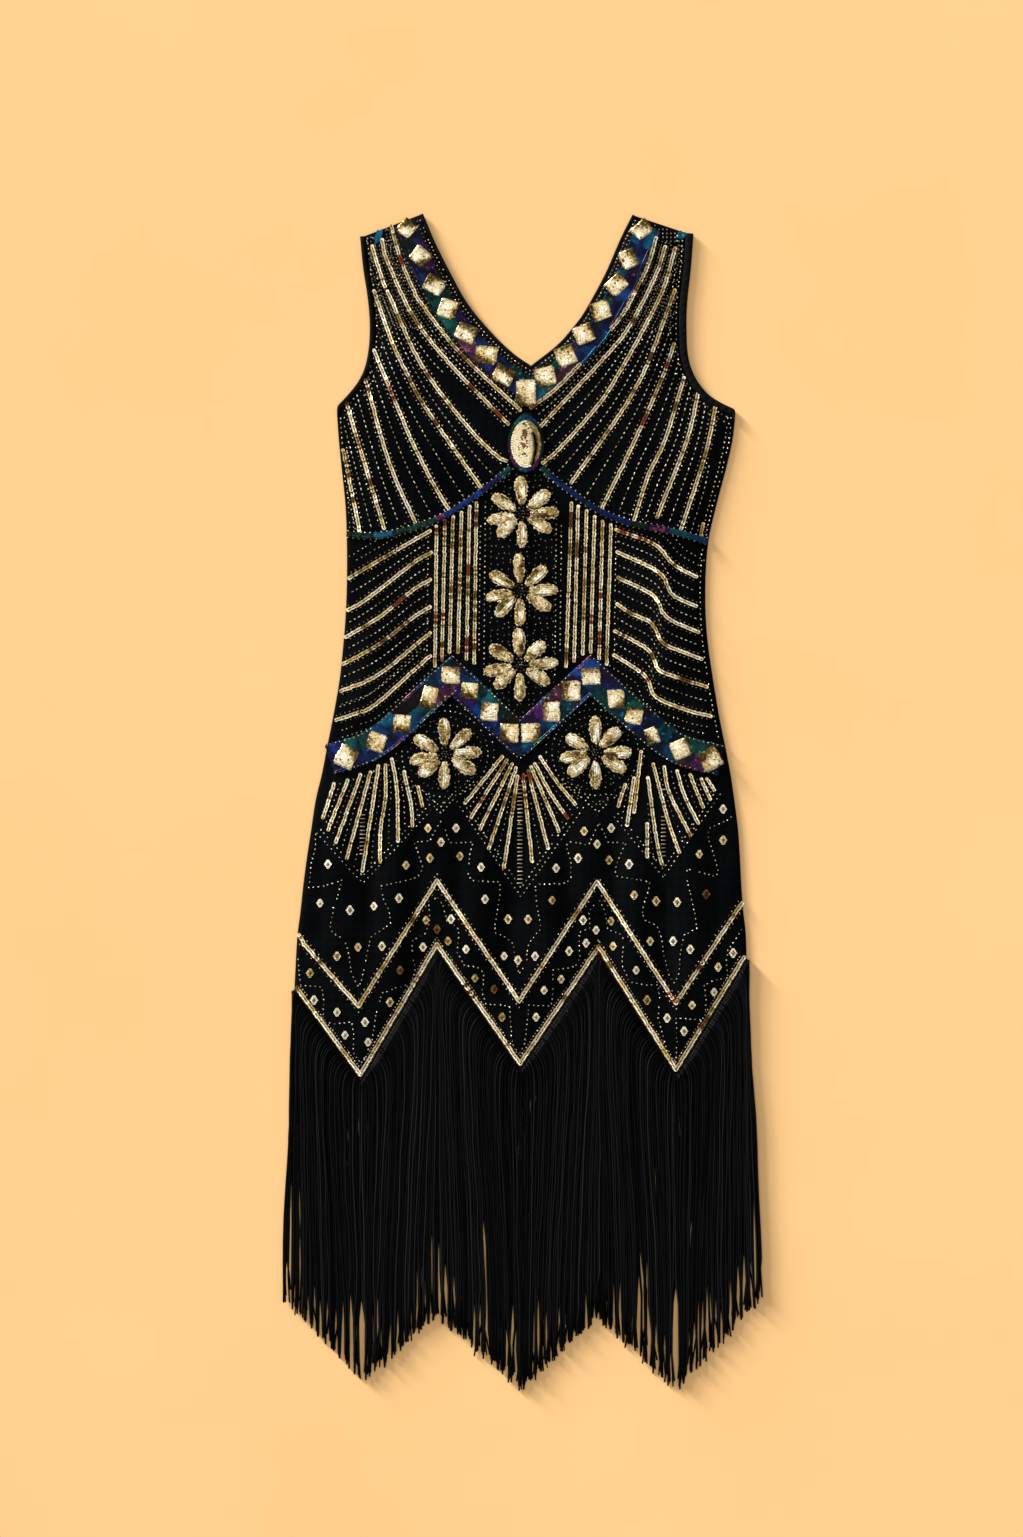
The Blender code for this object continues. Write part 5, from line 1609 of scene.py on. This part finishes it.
PETAL_ROOT = 0.23  # a petal starts at this share of its reach
PETAL_TOP = 0.62  # its dome is flat above this share of its rise
PETAL_PITCH = 1.72
PAINTED_CREASE_PITCH = 4.2  # painted creases of light and shade lie about this far apart; the padding is smooth
FLOWER_RISE = 2.4
HUB_RINGS = ((0.0, 1), (3.0, 6), (6.2, 9))  # radius, beads
JEWEL_SEED = 71
JEWEL_RISE = 4.2
JEWEL_RINGS = np.arange(0.05, 1.01, 0.074)
JEWEL_PITCH = 1.9
JEWEL_BORDER = 0.8  # past this share of the oval the sequins are iridescent
JEWEL_POINT = 0.12  # the oval's top is drawn out by this share
JEWEL_FILM = (  # hues of the border, from the right, round
    0.97, 0.97, 0.5, 0.45, 0.6, 0.74, 0.8, 0.72, 0.12, 0.04, 0.08, 0.7, 0.2, 0.08, 0.1, 0.66)
CORD_WIDTH = 4.8
CORD_RISE = 1.3
CORD_PITCH = 1.9
CORD_PROFILE = ((-1, 0), (-0.85, 0.5), (-0.5, 0.86), (0, 1), (0.5, 0.86), (0.85, 0.5), (1, 0))
CORD_FILM = {  # from the side seam to the jewel: up to this share of the cord, hue, glow
    "left": ((0.14, 0.9, 0.3), (0.25, 0.56, 0.6), (0.5, 0.86, 0.3), (0.55, 0.04, 0.35), (0.78, 0.34, 0.5),
             (0.92, 0.2, 0.3), (1.0, 0.74, 0.35)),
    "right": ((0.09, 0.45, 0.5), (0.2, 0.62, 0.5), (0.32, 0.1, 0.45), (0.42, 0.88, 0.3), (0.6, 0.32, 0.45),
              (0.72, 0.4, 0.2), (0.93, 0.34, 0.42), (1.0, 0.74, 0.35)),
}


def half_dome(segments, rings):
    """The upper half of a sphere of unit radius, closed below by one face."""
    bpy.ops.object.select_all(action="DESELECT")
    bpy.ops.mesh.primitive_uv_sphere_add(segments=segments, ring_count=rings, radius=1.0)
    dome = bpy.context.object
    bpy.ops.object.mode_set(mode="EDIT")
    bpy.ops.mesh.select_all(action="SELECT")
    bpy.ops.mesh.bisect(plane_co=(0, 0, 0), plane_no=(0, 0, 1), clear_inner=True, use_fill=True)
    bpy.ops.object.mode_set(mode="OBJECT")
    # Blender lists a sphere's faces in another order each time, so they are put in one order here.
    points = [vertex.co.copy() for vertex in dome.data.vertices]
    faces = [list(face.vertices) for face in dome.data.polygons]
    base = max(faces, key=len)
    lowest = base.index(min(base))
    base[:] = base[lowest:] + base[:lowest]
    dome.data.clear_geometry()
    dome.data.from_pydata(points, [], sorted(faces))
    return dome


def petal_width(share):
    """How wide a petal is at a share of its length past its root."""
    return 0.62 + 0.52 * share


def model_petal():
    """A padded petal of unit reach and half width, pointed to its root, kept as a pattern for copies."""
    petal = half_dome(20, 12)
    for vertex in petal.data.vertices:
        share = max(0.0, (vertex.co.x + 1) / 2)
        vertex.co.x = PETAL_ROOT + (1 - PETAL_ROOT) * share
        vertex.co.y *= petal_width(share)
        vertex.co.z = min(vertex.co.z, PETAL_TOP) / PETAL_TOP
    return petal


def flatter(normal):
    """A sequin over padding lies flatter than the padding under it."""
    up = np.array(normal) + (0, 0, 4.5)
    return up / np.linalg.norm(up)


def cover_petal(spots, ground, front, random, centre, turn, reach, half, painted_gleam_strength):
    """Small sequins over one petal, with a painted highlight, a side of duller film in painted shade, painted
    light and shade of creases of its own, and its rim.
    """
    ahead, left = heading(turn)
    painted_gleam_at = np.array((random.uniform(0.35, 0.95), random.uniform(-0.6, 0.6)))
    dull_and_shaded_at = np.array((random.uniform(0.2, 0.8), random.choice((-0.9, 0.9))))
    brightness = random.uniform(0.56, 0.74)
    dull_and_shaded_depth = 0.62 if random.random() < 0.4 else 0.3
    # Painted light and shade of creases: the sequins of each crease are drawn lighter or darker, though the
    # padding under them is smooth.
    folds = random.uniform(-0.2, 0.16, (10, 2))
    for u in np.arange(reach * PETAL_ROOT + 0.8, reach, PETAL_PITCH * 0.92):
        for v in np.arange(-half - 1, half + 1, PETAL_PITCH * 1.14):
            x, y = np.array(centre) + ahead * u + left * v + random.normal(0, 0.12, 2)
            found = ground.under(x, y)
            if not found:
                continue
            top, normal = found
            inside = np.array((u / reach, v / half))
            painted_gleam = math.exp(-np.sum(((inside - painted_gleam_at) / (0.2, 0.5)) ** 4))
            dull_and_shaded = math.exp(-np.sum(((inside - dull_and_shaded_at) / (0.3, 0.85)) ** 2))
            painted_crease_light = folds[int((u + 0.6 * v) / PAINTED_CREASE_PITCH) % 10][int(v > 0.8 * math.sin(u / 4))]
            tone = brightness + painted_crease_light + painted_gleam_strength * painted_gleam - dull_and_shaded_depth * dull_and_shaded + random.normal(0, 0.1)
            shade = 0.86 + 0.8 * painted_crease_light + 0.25 * painted_gleam - 0.5 * dull_and_shaded + random.normal(0, 0.07)
            up = tilted(flatter(normal), ahead, -3 + random.normal(0, 5), random.normal(0, 5))
            spots.add((x, y, top + FINE_LIFT), ahead, up, PETAL_PITCH * 0.62, np.clip(tone, 0.05, 1), shade)
    for around in np.linspace(-math.pi * 0.86, math.pi * 0.86, int((reach + half) * 0.95)):
        share = (1 + math.cos(around)) / 2
        proud = random.uniform(-0.7, 0.9)  # the rim's sequins stand out unevenly
        u = reach * (PETAL_ROOT + (1 - PETAL_ROOT) * share) + (proud - 0.4) * math.cos(around)
        v = (half * petal_width(share) * 0.97 + proud) * math.sin(around)
        x, y = np.array(centre) + ahead * u + left * v
        top, normal = ground.under(x, y) or front.under(x, y)
        tone = np.clip(random.normal(0.63, 0.19), 0.1, 1)
        spots.add((x, y, top + 0.5), ahead, flatter(normal), 1.05, tone, random.uniform(0.75, 1.0))


def flower(name, centre, petal, front, seed):
    """Eight padded petals covered with small sequins round a dark hub of beads."""
    random = np.random.default_rng(seed)
    height = front.height(*centre, 10.0) + GAP
    # How strong each petal's painted highlight is, stronger on the hip flowers.
    painted_gleam_strength = 0.4 if name.startswith("flower_hip") else 0.26
    matrices = []
    facts = []
    for turn, reach, half in PETALS:
        turn += random.uniform(-2.5, 2.5)
        reach *= random.uniform(0.95, 1.02)
        half *= random.uniform(0.92, 1.04)
        facts.append((math.radians(turn), reach, half))
        matrices.append(placed((*centre, height), turn, (reach, half, FLOWER_RISE)))
    petals = sew_on(copies_of(petal, name + "_petals", matrices, GOLD_PAD), "gold_sequins", name)
    ground = Ground(petals)
    spots, hub = Spots(), Spots()
    for own in facts:
        cover_petal(spots, ground, front, random, centre, *own, painted_gleam_strength)
    scatter(name + "_sequins", FLAT_SEQUIN, spots, FINE_GOLD)
    for ring, count in HUB_RINGS:
        for k in range(count):
            x, y = np.array(centre) + ring * heading(math.tau * k / count + ring)[0]
            top, normal = front.under(x, y)
            hub.add((x, y, top + 0.8), (1, 0), normal, (1.1, 1.1, 1.0), random.choice((0.0, 0.0, 0.02, 0.3)))
    scatter(name + "_hub_beads", BEAD, hub, GLASS)
    return petals


def jewel(front):
    """An oval padded motif: rings of gold sequins in a border of iridescent ones."""
    random = np.random.default_rng(JEWEL_SEED)
    centre = np.array(JEWEL_CENTRE)
    half = np.array(JEWEL_HALF)
    height = front.height(*centre, 12.0) + GAP
    pattern = half_dome(32, 16)
    for vertex in pattern.data.vertices:
        vertex.co.y += JEWEL_POINT * max(0.0, vertex.co.y) ** 10
    matrix = placed((*centre, height), 0, (*half, JEWEL_RISE))
    dome = sew_on(copies_of(pattern, "neck_jewel_pad", [matrix], CREPE), "gold_sequins", "neck_jewel")
    bpy.data.objects.remove(pattern, do_unlink=True)
    ground = Ground(dome)
    gold, film = Spots(), Spots()
    for share in JEWEL_RINGS:
        count = max(5, int(math.pi * (half[0] + half[1]) * share / JEWEL_PITCH))
        for k in range(count):
            turn = math.tau * k / count + share * 9
            x, y = centre + half * share * (math.cos(turn), math.sin(turn)) + random.normal(0, 0.12, 2)
            y += half[1] * JEWEL_POINT * max(0.0, share * math.sin(turn)) ** 10
            found = ground.under(x, y)
            if not found:
                continue
            top, normal = found
            ahead = np.array((-half[0] * math.sin(turn), half[1] * math.cos(turn)))
            up = tilted(flatter(normal), ahead / np.linalg.norm(ahead), 6, random.normal(0, 3))
            if share > JEWEL_BORDER:
                hue = JEWEL_FILM[int(turn / math.tau * len(JEWEL_FILM)) % len(JEWEL_FILM)]
                tone = np.clip(hue + random.normal(0, 0.06), 0, 1)
                painted_end_light = 0.3 + 0.7 * abs(math.sin(turn)) ** 2  # painted light: the border is drawn brighter at its two ends than at its sides
                # A tenth of the border's sequins are drawn much lighter, a painted glint.
                shade = (random.uniform(0.12, 0.6) + (0.7 if random.random() < 0.1 else 0.0)) * painted_end_light
                film.add((x, y, top + FINE_LIFT), ahead, up, (1.5, 1.4, 1.4), tone, shade)
                continue
            # Painted shade: right of a curved line the oval is drawn in darker, browner film, darkest in a
            # band along that line as if in a groove; the dome under it is smooth.
            across, upward = (np.array((x, y)) - centre) / half
            streak = math.exp(-(((across + 0.12 - 0.16 * upward) / 0.2) ** 4 + ((upward - 0.12) / 0.45) ** 4))
            bend = 0.5 - 0.55 * (upward + 0.1) ** 2
            painted_groove_shade = math.exp(-(((across - bend) / 0.13) ** 2)) * (-0.75 < upward < 0.42)
            right = float(across > bend)
            tone = 0.78 - 0.3 * right + random.normal(0, 0.09) - 0.4 * painted_groove_shade
            shade = 0.9 - 0.8 * painted_groove_shade - 0.3 * right
            if random.random() < 0.75 * streak:
                tone, shade = random.uniform(0.0, 0.3), 1.05
            gold.add((x, y, top + FINE_LIFT), ahead, up, (1.15, 1.05, 1.05), np.clip(tone, 0, 1), shade)
    scatter("neck_jewel_gold_sequins", FLAT_SEQUIN, gold, FINE_GOLD)
    scatter("neck_jewel_film_sequins", FLAT_SEQUIN, film, RAINBOW)
    return dome


def bust_cord(side, front, seed):
    """A round cord under the bust, wrapped in overlapping iridescent sequins with beads on both sides."""
    random = np.random.default_rng(seed)
    path = spline(BUST_CORD[side], 10)
    run = lengths(path)[-1]
    stations = at(path, np.arange(0, run, 2.5))
    rings = []
    for place, normal in zip(stations, side_normals(stations)):
        lift = front.height(*place, CORD_WIDTH / 2) + GAP
        across = normal * CORD_WIDTH / 2
        rings.append([(*(place + across * out), lift + up * CORD_RISE) for out, up in CORD_PROFILE])
    node = "bust_cord_" + side
    cord = sew_on(loft("wrapped_" + node, rings, CREPE), "iridescent_sequins", node)
    ground = Ground(cord)
    film, beads = Spots(), Spots()
    for k, place in enumerate(np.arange(0.8, run, CORD_PITCH)):
        x, y, turn = at_step(path, place)
        ahead, left = heading(turn)
        hue, glow = next(own for until, *own in CORD_FILM[side] if place / run <= until)
        for across in (-1.5, 1.5):
            spot = (x, y) - left * across
            found = ground.under(*spot)
            if not found:
                continue
            top, normal = found
            up = tilted(flatter(normal), ahead, 8, random.normal(0, 4))
            tone = np.clip(hue + random.normal(0, 0.06), 0, 1)
            shade = max(0.06, glow + random.normal(0, 0.12))
            film.add((*spot, top + FINE_LIFT), ahead, up, (1.7, 1.6, 1.6), tone, shade)
        if k % 3 == 0:
            for across in (-CORD_WIDTH / 2 - 0.9, CORD_WIDTH / 2 + 0.9):
                spot = (x, y) - left * across
                top, normal = front.under(*spot) or (0, (0, 0, 1))
                beads.add((*spot, top + 0.6), (1, 0), normal, 0.85, random.uniform(0.3, 0.9))
    scatter(node + "_film_sequins", FLAT_SEQUIN, film, RAINBOW)
    scatter(node + "_beads", BEAD, beads, GLASS)
    return cord


# ---------------------------------------------------------------- fringe

FringeLayer = namedtuple("FringeLayer", "pitch root_height tip_height width spread seed")
FRONT_LAYERS = (
    FringeLayer(2.3, 2.1, 1.7, 1.9, 0.985, 11),
    FringeLayer(2.9, 2.9, 2.4, 1.9, 0.995, 12),
    FringeLayer(3.4, 3.7, 3.2, 2.0, 1.0, 13),
)
BACK_LAYERS = (
    FringeLayer(2.4, 0.7, 0.6, 1.9, 0.97, 14),
    FringeLayer(2.6, 1.2, 1.1, 1.9, 0.985, 15),
)
FRINGE_RINGS = 16
ROOT_STEPS = (0.0, 0.012, 0.026, 0.045, 0.075)  # shares of a strand, close where it turns down
ROOT_FULL = 0.6  # a strand is fuller by this share where it is sewn in
ROOT_FADE = 14
LEAVE = 11.0  # how far a strand runs out from the hem's slope before it hangs straight
LEAVE_DECAY = 7.5
TIP_SPREAD = 8.0  # how unevenly the strands end
HOOKED = 0.3  # of the strands turn aside at their ends
STRAND_WAVES = (((90, 220), 0.7), ((30, 60), 0.2))  # lengths, size
CLUMP_WIDTHS = (4.8, 9.0)
CLUMP_STARTS = (28, 68)  # above the ends
CLUMP_GATHER = (0.45, 0.85)
CLUMP_SEED = 10
CLUMP_FADE = 32  # a clump gathers over this much of its strands
CLUMP_REACH = 4.0  # clumps go on this far past the fringe's corners
TAPE = 4.0
TAPE_FLOORS = {"front": 1.6, "back": 0.2}
PARTING_PUSH = 0.6
PARTING_REACH = 4.5
PARTING_FADE = 30
WIDE_PARTINGS = (  # x, the height at which it begins, width
    (-233.0, -215, 2.2), (-223.0, -225, 1.5), (-161.0, -495, 5.0), (-145.0, -465, 2.6), (-101.0, -445, 1.8),
    (-72.0, -450, 1.6), (-36.0, -400, 2.4), (-9.0, -490, 3.4), (23.0, -495, 2.4), (118.0, -450, 3.8),
    (152.5, -480, 5.4), (175.0, -490, 2.6), (187.0, -475, 2.4), (232.5, -290, 2.2),
)


def strand_roots(pitch, random):
    """Roots along the hem's slopes, with how far each strand runs out sideways as it leaves."""
    roots, leave = [], []
    for a, b in neighbours(offset(HEM_LINE, GAP + TAPE * 0.5)):
        count = round(math.dist(a, b) / pitch)
        shares = (np.arange(count) + 0.5 + random.uniform(-0.3, 0.3, count)) / count
        roots.append(a + (b - a) * shares[:, None])
        from_end = np.minimum(shares, 1 - shares) * abs(b[0] - a[0])
        leave.append(math.copysign(LEAVE, b[1] - a[1]) * np.minimum(1, from_end / 15))
    roots, leave = np.vstack(roots), np.concatenate(leave)
    order = np.argsort(roots[:, 0])
    return roots[order], leave[order]


def clumps():
    """The strands of all layers gather into clumps near their ends: edges, heights of start, gather."""
    random = np.random.default_rng(CLUMP_SEED)
    edges = [FRINGE_ENDS[0, 0] - CLUMP_REACH]
    while edges[-1] < FRINGE_ENDS[-1, 0] + CLUMP_REACH:
        edges.append(edges[-1] + random.uniform(*CLUMP_WIDTHS))
    edges = np.array(edges)
    middles = (edges[:-1] + edges[1:]) / 2
    ends = np.interp(middles, *FRINGE_ENDS.T)
    tops = ends + random.uniform(*CLUMP_STARTS, len(middles)) + 40 * (random.random(len(middles)) < 0.12)
    return edges, middles, tops, random.uniform(*CLUMP_GATHER, len(middles))


def strands(layer):
    """Points, faces and attributes of one layer of three-sided strands."""
    random = np.random.default_rng(layer.seed)
    roots, leave = strand_roots(layer.pitch, random)
    count = len(roots)
    tip_x = np.interp(roots[:, 0], HEM_LINE[:, 0], FRINGE_ENDS[:, 0] * layer.spread)
    tip_y = np.interp(tip_x, *FRINGE_ENDS.T)
    tip_y += np.abs(random.normal(0, TIP_SPREAD, count)) + random.uniform(-3, 5, count)
    share = np.concatenate([ROOT_STEPS, np.linspace(0.13, 1, FRINGE_RINGS - len(ROOT_STEPS))])[None]
    drop = (roots[:, 1] - tip_y)[:, None] * share
    x = roots[:, :1] + (tip_x - roots[:, 0])[:, None] * smooth_step(share)
    x = x + leave[:, None] * (1 - np.exp(-drop / LEAVE_DECAY)) * (1 - smooth_step(share * 1.1))
    waves = [(random.uniform(*spread, count), size) for spread, size in STRAND_WAVES]
    for wave_length, size in waves:
        phase = random.uniform(0, math.tau, count)[:, None]
        wave = size * np.sin(drop * math.tau / wave_length[:, None] + phase)
        x = x + wave * np.minimum(1, drop / 30) * (1 - 0.6 * smooth_step((share - 0.5) * 2))
    hook = random.normal(0, 1.8, count) * (random.random(count) < HOOKED)
    x = x + hook[:, None] * smooth_step((share - 0.95) / 0.05)
    y = roots[:, 1:] - drop
    edges, middles, tops, gather = clumps()
    own = np.clip(np.searchsorted(edges, tip_x) - 1, 0, len(middles) - 1)
    pulled = (middles[own] - tip_x) * gather[own]
    x = x + pulled[:, None] * smooth_step((tops[own][:, None] - y) / CLUMP_FADE)
    for parting_x, top, wide in WIDE_PARTINGS:
        away = tip_x - parting_x
        push = np.where(away < 0, -PARTING_PUSH, PARTING_PUSH) * wide * np.exp(-((away / PARTING_REACH) ** 2))
        x = x + push[:, None] * smooth_step((top - y) / PARTING_FADE)
    z = layer.root_height + (layer.tip_height - layer.root_height) * smooth_step(share * 3)
    z = z + random.uniform(-0.35, 0.45, count)[:, None]
    width = layer.width * random.uniform(0.8, 1.15, count)[:, None] * (1 - 0.1 * share)
    width = width * (1 + ROOT_FULL * np.exp(-drop / ROOT_FADE))
    corners = []
    for turn in (90, 210, 330):
        angle = math.radians(turn)
        lift = np.maximum(z + 0.5 * width * math.sin(angle) * 0.8, 0.15)
        corners.append(np.stack([x + 0.55 * width * math.cos(angle), y, lift], axis=-1))
    points = np.stack(corners, axis=2).reshape(-1, 3)
    base = np.arange(count)[:, None] * FRINGE_RINGS * 3
    faces = []
    for ring in range(FRINGE_RINGS - 1):
        for i in range(3):
            a, b = base + ring * 3 + i, base + ring * 3 + (i + 1) % 3
            faces.append(np.hstack([a + 3, b + 3, b, a]))
    end = base + (FRINGE_RINGS - 1) * 3
    faces = [*np.vstack(faces).tolist(), *(base + (0, 1, 2)).tolist(), *(end + (2, 1, 0)).tolist()]
    tone = np.repeat(random.beta(0.8, 1.5, count), FRINGE_RINGS * 3)
    return points, faces, tone, np.repeat(drop.ravel(), 3)


def fringe(side, layers):
    """A narrow tape under the hem and layers of yarn that leave it across the slope, then hang."""
    all_points, all_faces, tones, reaches = [], [], [], []
    start = 0
    for layer in layers:
        points, faces, tone, reach = strands(layer)
        all_points.append(points)
        all_faces += [[index + start for index in face] for face in faces]
        tones.append(tone)
        reaches.append(reach)
        start += len(points)
    name = side + "_fringe_strands"
    made = mesh_piece(name, np.vstack(all_points), all_faces, YARN)
    store(made.data, "tone", np.concatenate(tones))
    store(made.data, "reach", np.concatenate(reaches))
    sew_on(face_outward(made), "fringe_yarn", "fringe_" + side)
    low = TAPE_FLOORS[side]
    rings = []
    for a, b in zip(offset(HEM_LINE, GAP), offset(HEM_LINE, GAP + TAPE)):
        rings.append([(*a, low), (*a, low + 1.1), (*((a + b) / 2), low + 1.3), (*b, low + 1.1), (*b, low)])
    return made, sew_on(loft(name + "_tape", rings, BINDING, smooth=False), "fringe_yarn")


# ---------------------------------------------------------------- the dress

EMBROIDERY_SEED = 5
FLOWER_SEED = 40
CORD_SEED = 60

back_cloth = panel("dress_back_cloth", BACK_GRID, CREPE, back_heights, BACK_TUCK, BACK_NECK_DROP)
front_cloth = panel("dress_front_cloth", FRONT_GRID, NET, front_heights)
sew_on(back_cloth, "plain_crepe", "back_panel")
sew_on(front_cloth, "beaded_net", "front_panel")
back_trims = bindings("back", BACK_TUCK, BACK_NECK_DROP)
front_trims = bindings("front", 0.0, 0.0)

front = Ground(front_cloth)
pad = model_pad()
bands = [sew_band(band, front, pad) for band in BANDS]
bpy.data.objects.remove(pad, do_unlink=True)
petal = model_petal()
blooms = [
    flower(name, centre, petal, front, FLOWER_SEED + k) for k, (name, centre) in enumerate(FLOWERS.items())]
bpy.data.objects.remove(petal, do_unlink=True)
dome = jewel(front)
cords = [bust_cord(side, front, CORD_SEED + k) for k, side in enumerate(SIDES)]
for band, sewn in zip(BANDS, bands):
    edge_beads(band, Ground(sewn[0]))

trims = Ground(*bands[0], *bands[1], *blooms, dome, *cords)
work = Embroidery(front, trims, EMBROIDERY_SEED)
embroider_bodice(work, Ground(bands[0][0]))
embroider_waist(work)
embroider_centre(work)
embroider_skirt(work)
embroider_hem(work)
scatter("gold_line_sequins", CUPPED_SEQUIN, work.sequins, GOLD)
scatter("gold_line_stitches", BUGLE, work.stitches, THREAD)
scatter("seed_beads", BEAD, work.beads, GLASS)
scatter("bugle_beads", BUGLE, work.bugles, GLASS)
scatter("strap_leaf_sequins", FLAT_SEQUIN, work.leaves, RAINBOW)

front_fringe = fringe("front", FRONT_LAYERS)
back_fringe = fringe("back", BACK_LAYERS)

# ---------------------------------------------------------------- floor, light and camera

FLOOR_SIDE = 8.0
ROOM_STRENGTH = 0.46
VIEW_CENTRE = (-0.0115, 0.031)
VIEW_TALL = 1.537
VIEW_LIFT = 0.003  # the dress's own thickness
LENS = 100.0
SENSOR = 36.0


def painted_floor():
    """A matte pale peach floor with the faintest mottle."""
    look, tree, shader = new_finish("matte_painted_floor", {"Roughness": 0.9, "Specular IOR Level": 0.2})
    place = add_node(tree, "TexCoord").outputs["Object"]
    mottle = add_node(tree, "TexNoise", {"Vector": place, "Scale": 3.0, "Detail": 3.0})
    paint = add_node(tree, "ValToRGB", {"Fac": mottle})
    set_ramp(paint, ((0.3, "#ecc28a"), (0.7, "#efc690")))
    wire(tree, shader, {"Base Color": paint})
    return look


def lamp(name, kind, place, power, tint, **settings):
    """A lamp that is turned to the middle of the dress."""
    light = bpy.data.lights.new(name, kind)
    light.energy = power
    light.color = colour(tint)[:3]
    for setting, value in settings.items():
        setattr(light, setting, value)
    made = bpy.data.objects.new(name, light)
    made.location = place
    made.rotation_euler = (-made.location).to_track_quat("-Z", "Y").to_euler()
    bpy.context.scene.collection.objects.link(made)


bpy.ops.mesh.primitive_plane_add(size=FLOOR_SIDE, location=(0, 0, 0))
floor = bpy.context.object
floor.name = "floor"
floor.data.materials.append(painted_floor())

world = bpy.data.worlds.new("soft_room")
bpy.context.scene.world = world
world.use_nodes = True
room = world.node_tree.nodes["Background"]
wire(world.node_tree, room, {"Color": colour("#fff3df"), "Strength": ROOM_STRENGTH})

lamp("top_light", "AREA", (-0.7, 0.9, 5.2), 46.0, "#ffffff", shape="SQUARE", size=2.2)
lamp("side_light", "AREA", (2.4, 0.6, 2.4), 5.0, "#f4f6ff", shape="SQUARE", size=1.2)
# Two broad low lamps far to the upper left stand for large soft boxes across the studio.
lamp("low_lamp", "SUN", (-3.0, 2.6, 0.95), 4.6, "#fffaf0", angle=math.radians(14))
lamp("lowest_lamp", "SUN", (-3.0, 2.8, 0.48), 7.0, "#fffaf0", angle=math.radians(8))

lens = bpy.data.cameras.new("overhead_camera")
lens.lens = LENS
lens.sensor_width = SENSOR
lens.clip_end = 50.0
camera = bpy.data.objects.new("overhead_camera", lens)
camera.location = (*VIEW_CENTRE, VIEW_TALL * LENS / SENSOR + VIEW_LIFT)
bpy.context.scene.collection.objects.link(camera)
bpy.context.scene.camera = camera
bpy.context.scene.view_settings.view_transform = "Standard"
